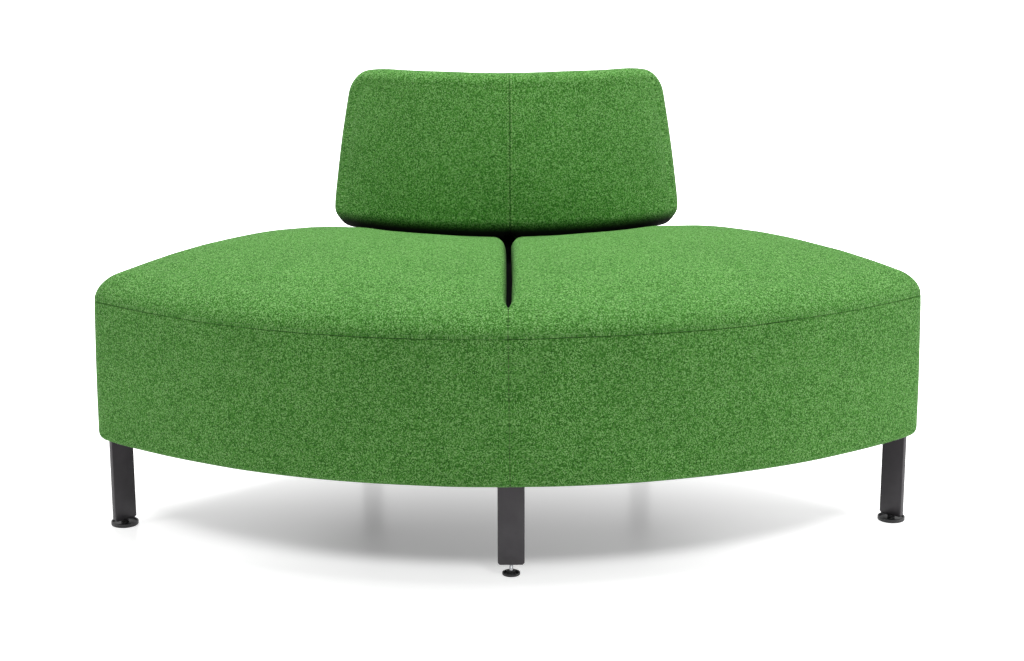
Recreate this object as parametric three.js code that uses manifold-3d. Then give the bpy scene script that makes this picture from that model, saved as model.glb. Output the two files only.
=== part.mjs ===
// Curved sofa module: a quarter-ring seat on flat-bar legs, with a low curved backrest.
// Millimetres, +Z up, the floor is z = 0. All arcs are drawn about x = y = 0 and the sitter faces -Y.
// The last lines move the whole module so that the middle of its footprint is the origin.

import * as THREE from 'three';
import { mergeVertices } from 'three/addons/utils/BufferGeometryUtils.js';
import Module from 'manifold-3d';

const wasm = await Module();
wasm.setup();

// Fits
const clearance = 0.3; // between pieces that touch
const facetAllowance = 0.6; // extra room between arcs whose flats don't line up
const overrun = 2; // how far a cutter runs past what it cuts

// Seat plan
const outerRadius = 930;
const innerRadius = 345;
const halfSpan = Math.PI / 4;
const outerCornerRadius = 38;
const innerCornerRadius = 30;
const smallestCornerRadius = 3;

// Seat heights
const undersideHeight = 149.5;
const seamHeight = 370.5;

// Layers of the upholstered box, from the outside in
const coverThickness = 2;
const skirtFoamThickness = 12;
const dustCoverThickness = 1;
const seatFoamThickness = 45;

// Timber carcass
const boardThickness = 18;
const railThickness = 15;
const ribThickness = 18;

// Seat cushion form
const edgeRise = 32.5; // height of the rounded edge above the seam
const edgeRun = 56; // width of the rounded edge in plan
const crownRise = 31; // extra height half way between the arcs
const halfCrownRise = 4; // extra height in the middle of each half
const seamStand = 3; // upright band just above the seam
const seamDip = 1.5; // how far the sewn seam pulls the cushion in
const slitHalfGap = 3;
const slitEdge = 12; // rounding along the slit
const slitTipSetback = 40; // from the front face to the closed end of the slit
const slitFadeLength = 45; // over which the slit's rounding dies away
const slitRearCornerRadius = 26;
const seamEdge = 2; // rounding left where the two halves are sewn together

// Legs: flat bar with a welded top plate
const barWidth = 40;
const barThickness = 8;
const barChamfer = 3;
const legPlateWidth = 50;
const legPlateLength = 40;
const legPlateThickness = 5;
const legScrewMargin = 9; // from the plate's side edge to a screw's axis
const frontLegSetback = 42; // from the front face to the bar's middle plane
const cornerLegInset = 37; // from the front arc to the bar's middle line
const cornerLegSideInset = 26; // from the side plane to the bar's middle plane
const rearLegInset = 30; // from the rear arc to the bar's middle line
const rearLegSideInset = 40;

// Screws of the leg plates
const legScrewRadius = 2.5;
const legScrewHeadRadius = 5;
const legScrewHeadHeight = 3;
const legScrewLength = 20;

// Levelling feet
const studRadius = 3;
const studLength = 32;
const studSeat = 4; // depth of the socket that holds the stud in its pad
const studHoleDepth = studLength;
const frontPadRadius = 13.5;
const frontPadHeight = 4;
const frontHubHeight = 3.3;
const frontExposedThread = 8.7;
const cornerPadRadius = 22;
const cornerPadHeight = 6;
const cornerHubHeight = 2;
const hubRadius = 6;
const padEdge = 1; // chamfer round a pad's top edge

// Backrest: a padded shell on a cone that leans back
const backLean = THREE.MathUtils.degToRad(11);
const backStandForward = 79; // front face at its bottom edge, from the rear arc
const backSeatGap = 1.65; // from the seat's crown to the bottom edge
const backHeight = 267.5; // along the lean, at the ends
const backHalfWidth = 324; // along the arc at half height
const backCornerRadius = 43;
const backTopRise = 4; // extra height in the middle of the top edge
const backEdge = 22; // rounding of the front edges
const backRearEdge = 11;
const backBulge = 5;
const backRearBulge = 2;
const backRearPanelThickness = 13.7;
const shellThickness = 12;
const waddingThickness = 2.6;
const shellBorder = 16; // foam between the shell's edge and the cover

// Backrest brackets: flat bar bolted to the rear rail and to the shell
const bracketFootGap = 13; // above the rear rail's bottom edge
const bracketEmbed = 165; // length inside the backrest
const bracketBendDrop = 6; // below the backrest's bottom edge
const bracketAngle = halfSpan * 2 / 3;
const bracketSlotGap = 0.5;
const railBoltShares = [0.26, 0.77]; // of the rail's height
const shellBoltShares = [0.36, 0.79]; // of the length inside the backrest
const boltRadius = 3;
const boltHeadRadius = 6;
const boltHeadHeight = 4;
const boltWoodLength = 10; // length in the rail or the shell

// How finely curves are cut
const halfArcSteps = 12;
const cornerSteps = 3; // in each half of a corner
const acrossSteps = 16; // seat cushion, along the arcs
const alongSteps = 14; // seat cushion, between the arcs
const backAcrossSteps = 24;
const backUpSteps = 10;
const edgeSteps = 5;
const shellSteps = 20;
const smallRoundSides = 8;
const padSides = 20;
const slitShares = [0.12, 0.25, 0.38, 0.51, 0.64, 0.76, 0.86, 0.92, 0.96, 0.985];

const finish = {
  fabric: new THREE.MeshStandardMaterial({ color: 0x3f8130, roughness: 0.95, metalness: 0 }),
  foam: new THREE.MeshStandardMaterial({ color: 0xe9e0bf, roughness: 0.95, metalness: 0 }),
  lining: new THREE.MeshStandardMaterial({ color: 0x1d1d1e, roughness: 0.9, metalness: 0 }),
  plywood: new THREE.MeshStandardMaterial({ color: 0xc9a877, roughness: 0.7, metalness: 0 }),
  coatedSteel: new THREE.MeshStandardMaterial({ color: 0x3c3a3c, roughness: 0.45, metalness: 0.3 }),
  zincSteel: new THREE.MeshStandardMaterial({ color: 0xb9bcc0, roughness: 0.3, metalness: 1 }),
  blackPlastic: new THREE.MeshStandardMaterial({ color: 0x1b1b1c, roughness: 0.5, metalness: 0 }),
};

const sofa = new THREE.Group();

function add(name, geometry, material) {
  geometry.computeVertexNormals();
  const mesh = new THREE.Mesh(geometry, material);
  mesh.name = name;
  sofa.add(mesh);
  return mesh;
}

// Closed meshes

function signedVolume(position, index) {
  const [a, b, c] = [new THREE.Vector3(), new THREE.Vector3(), new THREE.Vector3()];
  let total = 0;
  for (let i = 0; i < index.length; i += 3) {
    a.fromBufferAttribute(position, index[i]);
    b.fromBufferAttribute(position, index[i + 1]);
    c.fromBufferAttribute(position, index[i + 2]);
    total += a.dot(b.cross(c));
  }
  return total;
}

// Shared vertices, no collapsed triangles, faces pointing out.
function closed(geometry) {
  geometry.deleteAttribute('normal');
  geometry.deleteAttribute('uv');
  const merged = mergeVertices(geometry);
  const source = merged.index.array;
  const kept = [];
  for (let i = 0; i < source.length; i += 3) {
    const [a, b, c] = [source[i], source[i + 1], source[i + 2]];
    if (a !== b && b !== c && c !== a) kept.push(a, b, c);
  }
  if (signedVolume(merged.attributes.position, kept) < 0) kept.reverse();
  merged.setIndex(kept);
  return merged;
}

function fromTriangles(vertices, triangles) {
  const geometry = new THREE.BufferGeometry();
  geometry.setAttribute('position', new THREE.Float32BufferAttribute(vertices.flatMap((v) => v.toArray()), 3));
  geometry.setIndex(triangles);
  return closed(geometry);
}

function mirrored(geometry) {
  const copy = geometry.clone();
  copy.scale(-1, 1, 1);
  copy.setIndex([...copy.index.array].reverse());
  return copy;
}

function toManifold(geometry) {
  return new wasm.Manifold(new wasm.Mesh({
    numProp: 3,
    vertProperties: new Float32Array(geometry.attributes.position.array),
    triVerts: new Uint32Array(geometry.index.array),
  }));
}

function fromManifold(solid) {
  const mesh = solid.getMesh();
  const geometry = new THREE.BufferGeometry();
  geometry.setAttribute('position', new THREE.BufferAttribute(mesh.vertProperties, 3));
  geometry.setIndex(new THREE.BufferAttribute(mesh.triVerts, 1));
  return geometry;
}

function cut(geometry, tools) {
  return fromManifold(tools.reduce((left, tool) => left.subtract(toManifold(tool)), toManifold(geometry)));
}

function join(geometries) {
  return fromManifold(geometries.map(toManifold).reduce((whole, next) => whole.add(next)));
}

// Simple solids

function block(size, centre) {
  return closed(new THREE.BoxGeometry(...size).translate(...centre));
}

function prism(outline, bottom, top) {
  const geometry = new THREE.ExtrudeGeometry(new THREE.Shape(outline), { depth: top - bottom, bevelEnabled: false });
  return closed(geometry.translate(0, 0, bottom));
}

// Profile points are (radius, height); the axis is Z.
function turned(profile, sides) {
  const points = profile.map(([radius, height]) => new THREE.Vector2(radius, height));
  return closed(new THREE.LatheGeometry(points, sides).rotateX(Math.PI / 2));
}

function rod(radius, bottom, top, sides = smallRoundSides) {
  return turned([[0, bottom], [radius, bottom], [radius, top], [0, top]], sides);
}

function screw(radius, headRadius, headHeight, length) {
  return turned([[0, -headHeight], [headRadius, -headHeight], [headRadius, 0], [radius, 0], [radius, length],
    [0, length]], smallRoundSides);
}

// Turns local -Y to the direction at an angle from the module's middle plane.
function turn(angle) {
  return new THREE.Matrix4().makeRotationZ(angle);
}

function moved(geometry, ...matrices) {
  return geometry.clone().applyMatrix4(matrices.reduce((whole, next) => whole.multiply(next), new THREE.Matrix4()));
}

function shift(x, y, z) {
  return new THREE.Matrix4().makeTranslation(x, y, z);
}

// Seat outline, right half

const sideAlong = new THREE.Vector2(Math.sin(halfSpan), -Math.cos(halfSpan));
const sideInward = new THREE.Vector2(-Math.cos(halfSpan), -Math.sin(halfSpan));

function polar(radius, angle) {
  return new THREE.Vector2(radius * Math.sin(angle), -radius * Math.cos(angle));
}

function besideSide(radius, offset) {
  const along = Math.sqrt(radius ** 2 - offset ** 2);
  return sideAlong.clone().multiplyScalar(along).addScaledVector(sideInward, offset);
}

function arcPoints(centre, radius, from, to, steps) {
  return Array.from({ length: steps + 1 }, (_, i) => {
    const angle = THREE.MathUtils.lerp(from, to, i / steps);
    return new THREE.Vector2(centre.x + radius * Math.cos(angle), centre.y + radius * Math.sin(angle));
  });
}

function outerCorner(inset) {
  const radius = Math.max(outerCornerRadius - inset, smallestCornerRadius);
  const centre = besideSide(outerRadius - inset - radius, inset + radius);
  return arcPoints(centre, radius, centre.angle() - 2 * Math.PI, halfSpan, 2 * cornerSteps);
}

function innerCorner(inset) {
  const radius = Math.max(innerCornerRadius - inset, smallestCornerRadius);
  const centre = besideSide(innerRadius + inset + radius, inset + radius);
  return arcPoints(centre, radius, halfSpan, centre.angle() - Math.PI, 2 * cornerSteps);
}

function frontArc(inset, toAngle, x) {
  const radius = outerRadius - inset;
  const start = Math.asin(x / radius);
  return Array.from({ length: halfArcSteps + 1 }, (_, i) =>
    polar(radius, THREE.MathUtils.lerp(start, toAngle, i / halfArcSteps)));
}

function rearArc(inset, fromAngle, x) {
  const radius = innerRadius + inset;
  const end = Math.asin(x / radius);
  return Array.from({ length: halfArcSteps + 1 }, (_, i) =>
    polar(radius, THREE.MathUtils.lerp(fromAngle, end, i / halfArcSteps)));
}

function angleOf(point) {
  return Math.atan2(point.x, -point.y);
}

// From the middle of the front round the outer corner and along the side to the inner corner.
function frontAndSide(inset, x) {
  const outer = outerCorner(inset);
  return [...frontArc(inset, angleOf(outer[0]), x), ...outer.slice(1), ...innerCorner(inset)];
}

function rearPart(inset, x) {
  const inner = innerCorner(inset);
  return rearArc(inset, angleOf(inner[inner.length - 1]), x);
}

function flipped(points) {
  return points.map((point) => new THREE.Vector2(-point.x, point.y)).reverse();
}

function wholeSector(inset) {
  const half = [...frontAndSide(inset, 0), ...rearPart(inset, 0).slice(1)];
  return [...half, ...flipped(half).slice(1, -1)];
}

// Timber carcass

const foamInset = coverThickness + clearance;
const frameInset = foamInset + skirtFoamThickness + clearance;
const baseBottom = undersideHeight + dustCoverThickness + clearance;
const baseTop = baseBottom + boardThickness;
const skirtTop = seamHeight - clearance;
const foamBottom = skirtTop - seatFoamThickness;
const deckTop = foamBottom - clearance;
const deckBottom = deckTop - boardThickness;
const railBottom = baseTop + clearance;
const railTop = deckBottom - clearance;
const railInset = frameInset + railThickness;
const sideBoardInset = frameInset + ribThickness;
const railEndInset = sideBoardInset + clearance;
const rearRailFace = innerRadius + railInset;

function railOutline(nearRadius, farRadius) {
  const nearEnd = angleOf(besideSide(nearRadius, railEndInset));
  const farEnd = angleOf(besideSide(farRadius, railEndInset));
  const steps = 2 * halfArcSteps;
  const shares = Array.from({ length: steps + 1 }, (_, i) => 2 * i / steps - 1);
  return [...shares.map((share) => polar(farRadius, share * farEnd)),
    ...shares.map((share) => polar(nearRadius, -share * nearEnd))];
}

function sideBoard() {
  const outer = outerCornerStart(frameInset);
  const inner = innerCornerStart(frameInset);
  const corner = (along, inset) => sideAlong.clone().multiplyScalar(along).addScaledVector(sideInward, inset);
  return prism([corner(outer, frameInset), corner(outer, sideBoardInset), corner(inner, sideBoardInset),
    corner(inner, frameInset)], railBottom, railTop);
}

// How far along the side the round corners begin.
function outerCornerStart(inset) {
  const radius = Math.max(outerCornerRadius - inset, smallestCornerRadius);
  return besideSide(outerRadius - inset - radius, inset + radius).dot(sideAlong);
}

function innerCornerStart(inset) {
  const radius = Math.max(innerCornerRadius - inset, smallestCornerRadius);
  return besideSide(innerRadius + inset + radius, inset + radius).dot(sideAlong);
}

function rib() {
  const front = -(outerRadius - railInset - clearance - facetAllowance);
  const rear = -(rearRailFace + clearance + facetAllowance);
  return block([ribThickness, rear - front, railTop - railBottom],
    [0, (front + rear) / 2, (railTop + railBottom) / 2]);
}

// Legs. A leg's own frame has the bar's middle at the origin and its plate reaching to +Y.

const legTop = undersideHeight - clearance;
const frontLegBottom = frontPadHeight + frontHubHeight + frontExposedThread;
const cornerLegBottom = cornerPadHeight + cornerHubHeight + clearance;
const legScrewPlaces = [-1, 1].map((side) => [side * (legPlateWidth / 2 - legScrewMargin), legPlateLength / 2]);

function sideLegFrame(side, radius, sideInset) {
  const place = sideAlong.clone().multiplyScalar(radius).addScaledVector(sideInward, sideInset);
  return shift(side * place.x, place.y, 0).multiply(turn(side * (Math.PI / 2 + halfSpan)));
}

const legs = [
  { name: 'front', frame: shift(0, -(outerRadius - frontLegSetback), 0), bottom: frontLegBottom },
  ...[-1, 1].flatMap((side) => [
    { name: side < 0 ? 'corner_left' : 'corner_right', bottom: cornerLegBottom,
      frame: sideLegFrame(side, outerRadius - cornerLegInset, cornerLegSideInset) },
    { name: side < 0 ? 'rear_left' : 'rear_right', bottom: cornerLegBottom,
      frame: sideLegFrame(side, innerRadius + rearLegInset, rearLegSideInset) },
  ]),
];

function legGeometry(bottom) {
  const half = barWidth / 2;
  const outline = [[-half, legTop], [-half, bottom + barChamfer], [barChamfer - half, bottom],
    [half - barChamfer, bottom], [half, bottom + barChamfer], [half, legTop]];
  const bar = new THREE.ExtrudeGeometry(new THREE.Shape(outline.map(([x, y]) => new THREE.Vector2(x, y))),
    { depth: barThickness, bevelEnabled: false });
  bar.rotateX(Math.PI / 2).translate(0, barThickness / 2, 0);
  const plate = block([legPlateWidth, legPlateLength, legPlateThickness],
    [0, (legPlateLength - barThickness) / 2, legTop - legPlateThickness / 2]);
  const holes = legScrewPlaces.map(([x, y]) =>
    moved(rod(legScrewRadius + clearance, legTop - legPlateThickness - overrun, legTop + overrun), shift(x, y, 0)));
  const studHole = rod(studRadius + clearance, bottom - overrun, bottom + studHoleDepth);
  return cut(join([closed(bar), plate]), [...holes, studHole]);
}

// The origin is where the head seats, +Z along the shank.
function legScrew() {
  return screw(legScrewRadius, legScrewHeadRadius, legScrewHeadHeight, legScrewLength);
}

function legScrewHoles() {
  const top = legTop - legPlateThickness + legScrewLength + clearance;
  const one = rod(legScrewRadius + clearance, undersideHeight - overrun, top);
  return legs.flatMap((leg) => legScrewPlaces.map(([x, y]) => moved(one, leg.frame, shift(x, y, 0))));
}

function padGeometry(radius, height, hubHeight) {
  const top = height + hubHeight;
  const socket = studRadius + clearance;
  return turned([[0, 0], [radius, 0], [radius, height - padEdge], [radius - padEdge, height], [hubRadius, height],
    [hubRadius, top], [socket, top], [socket, top - studSeat], [0, top - studSeat]], padSides);
}

// Seat cushion halves

const slitTip = outerRadius - slitTipSetback;

// 1 behind the slit's closed end, 0 in front of it.
function slitOpenness(point) {
  return 1 - THREE.MathUtils.smoothstep(-point.y, slitTip - slitFadeLength, slitTip);
}

// 1 half way between the arcs, 0 on them.
function crownShare(radius) {
  const across = (radius - innerRadius) / (outerRadius - innerRadius);
  return 1 - (2 * across - 1) ** 2;
}

function seatTop(point) {
  const halfCrownShare = 1 - (2 * Math.abs(angleOf(point)) / halfSpan - 1) ** 2;
  return seamHeight + edgeRise + crownShare(point.length()) * (crownRise + halfCrownRise * halfCrownShare);
}

// One closed ring of the right half in plan, drawn in by a share of the edge's run.
function cushionRing(share, dip) {
  const inset = dip + share * edgeRun;
  const outer = outerCorner(inset);
  const inner = innerCorner(inset);
  const middleX = slitHalfGap + dip + share * slitEdge;
  const seamX = clearance / 2 + share * seamEdge;
  const arc = Array.from({ length: acrossSteps - cornerSteps }, (_, i) =>
    polar(outerRadius - inset, THREE.MathUtils.lerp(Math.asin(seamX / (outerRadius - inset)), angleOf(outer[0]),
      i / (acrossSteps - cornerSteps))));
  const sideSteps = alongSteps - 2 * cornerSteps;
  const side = Array.from({ length: sideSteps - 1 }, (_, i) =>
    outer[2 * cornerSteps].clone().lerp(inner[0], (i + 1) / sideSteps));
  const radius = Math.max(slitRearCornerRadius - share * slitRearCornerRadius / 2, smallestCornerRadius);
  const centreAlong = Math.sqrt((innerRadius + inset + radius) ** 2 - (middleX + radius) ** 2);
  const centre = new THREE.Vector2(middleX + radius, -centreAlong);
  const rear = arcPoints(centre, radius, centre.clone().negate().angle(), Math.PI, 2 * cornerSteps);
  const backSteps = acrossSteps - 2 * cornerSteps;
  const innerEnd = inner[2 * cornerSteps];
  const back = Array.from({ length: backSteps - 1 }, (_, i) =>
    polar(innerRadius + inset, THREE.MathUtils.lerp(angleOf(innerEnd), angleOf(rear[0]), (i + 1) / backSteps)));
  const slit = slitShares.map((along) => {
    const y = THREE.MathUtils.lerp(rear[2 * cornerSteps].y, -(outerRadius - inset), along);
    const openness = slitOpenness(new THREE.Vector2(0, y));
    return new THREE.Vector2(THREE.MathUtils.lerp(seamX, middleX, openness), y);
  });
  return [...arc, ...outer, ...side, ...inner, ...back, ...rear, ...slit];
}

// The height that the edge's rounding takes off a cushion at a point of a ring.
function edgeDrop(point, place, share) {
  const full = seatTop(point) - seamHeight - seamStand;
  const rounding = 1 - Math.sin(share * Math.PI / 2);
  const rearCornerStart = 2 * acrossSteps + alongSteps - cornerSteps;
  if (place <= rearCornerStart) return full * rounding;
  const turnShare = Math.min((place - rearCornerStart) / (2 * cornerSteps), 1);
  const slitDrop = THREE.MathUtils.lerp(seamEdge, slitEdge, slitOpenness(point));
  const fromFront = THREE.MathUtils.clamp((outerRadius - point.length()) / edgeRun, 0, 1);
  const frontDrop = full * (1 - Math.sqrt(1 - (1 - fromFront) ** 2));
  return Math.max(THREE.MathUtils.lerp(full, slitDrop, turnShare) * rounding, frontDrop);
}

function cushionHalf() {
  const shares = Array.from({ length: edgeSteps + 1 }, (_, i) => i / edgeSteps);
  const plans = [cushionRing(0, seamDip), ...shares.map((t) => cushionRing(1 - Math.cos(t * Math.PI / 2), 0))];
  const rings = plans.map((plan, level) => plan.map((point, place) => {
    const height = level === 0 ? seamHeight : seatTop(point) - edgeDrop(point, place, shares[level - 1]);
    return new THREE.Vector3(point.x, point.y, height);
  }));
  const top = (point) => new THREE.Vector3(point.x, point.y, seatTop(point));
  return lofted(rings, plans, acrossSteps, alongSteps, null, top);
}

// A body through rings of equal length. A cap with a place function is filled by a grid, one without is flat.
function lofted(rings, plans, across, along, startPlace, endPlace) {
  const count = rings[0].length;
  const vertices = rings.flat();
  const triangles = [];
  for (let level = 0; level + 1 < rings.length; level += 1) {
    for (let i = 0; i < count; i += 1) {
      const next = (i + 1) % count;
      const [a, b, c, d] = [level * count + i, level * count + next, (level + 1) * count + next,
        (level + 1) * count + i];
      triangles.push(a, b, c, a, c, d);
    }
  }
  const last = rings.length - 1;
  gridCap(vertices, triangles, plans[last], last * count, across, along, endPlace, false);
  if (startPlace) {
    gridCap(vertices, triangles, plans[0], 0, across, along, startPlace, true);
  } else {
    for (const [a, b, c] of THREE.ShapeUtils.triangulateShape(plans[0], [])) triangles.push(a, c, b);
  }
  return fromTriangles(vertices, triangles);
}

// Fills a four-sided ring with a grid, each point blended from the four sides.
function gridCap(vertices, triangles, plan, first, across, along, place, facingBack) {
  const edgeIndex = (i, j) => {
    if (j === 0) return i;
    if (i === across) return across + j;
    if (j === along) return across + along + (across - i);
    return (2 * across + along + (along - j)) % (2 * (across + along));
  };
  const onEdge = (i, j) => i === 0 || j === 0 || i === across || j === along;
  const at = (i, j) => plan[edgeIndex(i, j)];
  const blend = (i, j) => {
    const [u, v] = [i / across, j / along];
    const sum = new THREE.Vector2();
    sum.addScaledVector(at(i, 0), 1 - v).addScaledVector(at(i, along), v);
    sum.addScaledVector(at(0, j), 1 - u).addScaledVector(at(across, j), u);
    sum.addScaledVector(at(0, 0), -(1 - u) * (1 - v)).addScaledVector(at(across, 0), -u * (1 - v));
    return sum.addScaledVector(at(across, along), -u * v).addScaledVector(at(0, along), -(1 - u) * v);
  };
  const index = Array.from({ length: across + 1 }, (_, i) => Array.from({ length: along + 1 }, (__, j) => {
    if (onEdge(i, j)) return first + edgeIndex(i, j);
    vertices.push(place(blend(i, j)));
    return vertices.length - 1;
  }));
  for (let i = 0; i < across; i += 1) {
    for (let j = 0; j < along; j += 1) {
      const [a, b, c, d] = [index[i][j], index[i + 1][j], index[i + 1][j + 1], index[i][j + 1]];
      triangles.push(...(facingBack ? [a, c, b, a, d, c] : [a, b, c, a, c, d]));
    }
  }
}

function seatFoamHalf() {
  const outline = [...frontAndSide(frameInset, slitHalfGap), ...rearPart(frameInset, slitHalfGap).slice(1)];
  return prism(outline, foamBottom, skirtTop);
}

// Backrest. Its own coordinates are the way along the arc, the way up the lean and the depth behind the front.

const backFrontRadius = innerRadius + backStandForward;
const backBottom = seamHeight + edgeRise + crownShare(backFrontRadius) * (crownRise + halfCrownRise) + backSeatGap;
const backMeanRadius = backFrontRadius - backHeight / 2 * Math.sin(backLean);
const bracketRadius = rearRailFace + clearance + barThickness / 2;
const bracketDepth = (backFrontRadius + bracketBendDrop * Math.sin(backLean) - bracketRadius) / Math.cos(backLean);
const shellFront = bracketDepth + barThickness / 2 + clearance;
const shellRear = shellFront + shellThickness;
const rearPanelDepth = shellRear + clearance + waddingThickness;
const backThickness = rearPanelDepth + backRearPanelThickness;
const shellHalfWidth = backHalfWidth - shellBorder;

function onCone(across, up, depth) {
  const radius = backFrontRadius - up * Math.sin(backLean) - depth * Math.cos(backLean);
  const place = polar(radius, across / backMeanRadius);
  return new THREE.Vector3(place.x, place.y, backBottom + up * Math.cos(backLean) - depth * Math.sin(backLean));
}

// x along the arc, y depth, z up the lean, at an angle from the middle plane.
function leanFrame(angle) {
  return turn(angle).multiply(shift(0, -backFrontRadius, backBottom))
    .multiply(new THREE.Matrix4().makeRotationX(-backLean));
}

function backRing(inset) {
  const radius = Math.max(backCornerRadius - inset, smallestCornerRadius);
  const [x, low, high] = [backHalfWidth - inset - radius, inset + radius, backHeight - inset - radius];
  const corner = (cx, cy, start) =>
    arcPoints(new THREE.Vector2(cx, cy), radius, start, start + Math.PI / 2, 2 * cornerSteps);
  const corners = [corner(x, low, -Math.PI / 2), corner(x, high, 0), corner(-x, high, Math.PI / 2),
    corner(-x, low, Math.PI)];
  const ring = corners.flatMap((points, i) => {
    const next = corners[(i + 1) % corners.length][0];
    const steps = (i % 2 === 0 ? backUpSteps : backAcrossSteps) - 2 * cornerSteps;
    const from = points[2 * cornerSteps];
    return [...points, ...Array.from({ length: steps - 1 }, (_, k) => from.clone().lerp(next, (k + 1) / steps))];
  });
  for (const point of ring) {
    const rise = backTopRise * (1 - (point.x / backHalfWidth) ** 2);
    point.y *= 1 + rise / backHeight;
  }
  const start = ring.length - backAcrossSteps + cornerSteps;
  return [...ring.slice(start), ...ring.slice(0, start)];
}

// 1 in the middle of a face, 0 where its rounded edge begins.
function bulgeShare(point, edge) {
  const across = point.x / (backHalfWidth - edge);
  const up = 2 * (point.y - edge) / (backHeight - 2 * edge) - 1;
  return (1 - Math.min(across ** 2, 1)) * (1 - Math.min(up ** 2, 1));
}

// Rings from a flat parting face to a rounded face; outward is -1 at the front and 1 at the rear.
function backBody(partingDepth, faceDepth, edge, bulge, outward) {
  const shares = Array.from({ length: edgeSteps + 1 }, (_, i) => i / edgeSteps * Math.PI / 2);
  const plans = [backRing(0), ...shares.map((angle) => backRing(edge * (1 - Math.cos(angle))))];
  const depths = [partingDepth, ...shares.map((angle) => faceDepth - outward * edge * (1 - Math.sin(angle)))];
  const rings = plans.map((plan, level) => plan.map((point) => onCone(point.x, point.y, depths[level])));
  const parting = (point) => onCone(point.x, point.y, partingDepth);
  const face = (point) => onCone(point.x, point.y, faceDepth + outward * bulge * bulgeShare(point, edge));
  return lofted(rings, plans, backAcrossSteps, backUpSteps, parting, face);
}

// A plate on the cone between two depths.
function conePlate(halfWidth, low, high, front, rear) {
  const across = Array.from({ length: shellSteps + 1 }, (_, i) => halfWidth * (2 * i / shellSteps - 1));
  const row = (up, depth) => across.map((x) => onCone(x, up, depth));
  const rows = [row(low, front), row(low, rear), row(high, rear), row(high, front)];
  const count = shellSteps + 1;
  const triangles = [0, 1, 2, 0, 2, 3].map((k) => k * count);
  triangles.push(...[0, 2, 1, 0, 3, 2].map((k) => k * count + shellSteps));
  for (let side = 0; side < rows.length; side += 1) {
    for (let i = 0; i < shellSteps; i += 1) {
      const [a, b] = [side * count + i, ((side + 1) % rows.length) * count + i];
      triangles.push(a, a + 1, b + 1, a, b + 1, b);
    }
  }
  return fromTriangles(rows.flat(), triangles);
}

// Backrest brackets

// A point of the bar's middle line, as (y, z) in the bracket's own plane.
function bracketLine(up) {
  const place = onCone(0, up, bracketDepth);
  return new THREE.Vector2(place.y, place.z);
}

function bracketGeometry() {
  const bend = bracketLine(-bracketBendDrop);
  const top = bracketLine(bracketEmbed);
  const across = new THREE.Vector2(barThickness / 2, 0);
  const leaning = across.clone().rotateAround(new THREE.Vector2(), -backLean);
  const mitre = across.clone().rotateAround(new THREE.Vector2(), -backLean / 2)
    .divideScalar(Math.cos(backLean / 2));
  const foot = new THREE.Vector2(bend.x, railBottom + bracketFootGap);
  const outline = [foot.clone().sub(across), foot.clone().add(across), bend.clone().add(mitre),
    top.clone().add(leaning), top.clone().sub(leaning), bend.clone().sub(mitre)];
  const bar = new THREE.ExtrudeGeometry(new THREE.Shape(outline), { depth: barWidth, bevelEnabled: false });
  bar.translate(0, 0, -barWidth / 2).applyMatrix4(new THREE.Matrix4().makeBasis(
    new THREE.Vector3(0, 1, 0), new THREE.Vector3(0, 0, 1), new THREE.Vector3(1, 0, 0)));
  return closed(bar);
}

const alongDepth = new THREE.Matrix4().makeRotationX(-Math.PI / 2);

// Frames at each bolt of a bracket: the origin where the head seats, +Z into the wood.
const railBoltFrames = railBoltShares.map((share) => shift(0, -(bracketRadius + barThickness / 2 + clearance),
  THREE.MathUtils.lerp(railBottom, railTop, share)).multiply(alongDepth));
const shellBoltFrames = shellBoltShares.map((share) =>
  shift(0, bracketDepth - barThickness / 2 - clearance, share * bracketEmbed).multiply(alongDepth));

const bracketSides = [-1, 1].map((side) => side * bracketAngle);

function boltFrames(angle) {
  return [...railBoltFrames.map((frame) => turn(angle).multiply(frame)),
    ...shellBoltFrames.map((frame) => leanFrame(angle).multiply(frame))];
}

const boltReach = clearance + barThickness + clearance + boltWoodLength;

function holesFor(frames) {
  return frames.map((frame) => moved(rod(boltRadius + clearance, -overrun, boltReach + clearance), frame));
}

function slotFor(angle, bottom, top) {
  const width = barWidth + 2 * bracketSlotGap;
  const depth = barThickness + 2 * bracketSlotGap;
  return moved(block([width, depth, top - bottom], [0, -bracketRadius, (top + bottom) / 2]), turn(angle));
}

function bracketPocket(angle) {
  const width = barWidth + 2 * bracketSlotGap;
  const front = bracketDepth - barThickness / 2 - clearance - boltHeadHeight - clearance;
  const rear = shellFront + overrun;
  const top = bracketEmbed + bracketSlotGap;
  return moved(block([width, rear - front, top + overrun], [0, (front + rear) / 2, (top - overrun) / 2]),
    leanFrame(angle));
}

// Assembly: carcass

const seatSlots = (bottom, top) => bracketSides.map((angle) => slotFor(angle, bottom, top));
const screwHoles = legScrewHoles();

add('dust_cover', cut(prism(wholeSector(frameInset), undersideHeight, undersideHeight + dustCoverThickness),
  screwHoles), finish.lining);
add('base_board', cut(prism(wholeSector(frameInset), baseBottom, baseTop), screwHoles), finish.plywood);
add('deck_board', cut(prism(wholeSector(frameInset), deckBottom, deckTop),
  seatSlots(deckBottom - overrun, deckTop + overrun)), finish.plywood);
add('front_rail', prism(railOutline(outerRadius - railInset, outerRadius - frameInset - facetAllowance),
  railBottom, railTop), finish.plywood);
add('rear_rail', cut(prism(railOutline(innerRadius + frameInset, rearRailFace), railBottom, railTop),
  bracketSides.flatMap((angle) => holesFor(railBoltFrames.map((frame) => turn(angle).multiply(frame))))),
  finish.plywood);
add('side_board_right', sideBoard(), finish.plywood);
add('side_board_left', mirrored(sideBoard()), finish.plywood);
add('centre_rib', rib(), finish.plywood);
add('rib_right', rib(), finish.plywood).rotation.z = halfSpan / 2;
add('rib_left', rib(), finish.plywood).rotation.z = -halfSpan / 2;

// Assembly: foam and sewn cover round the carcass

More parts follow.
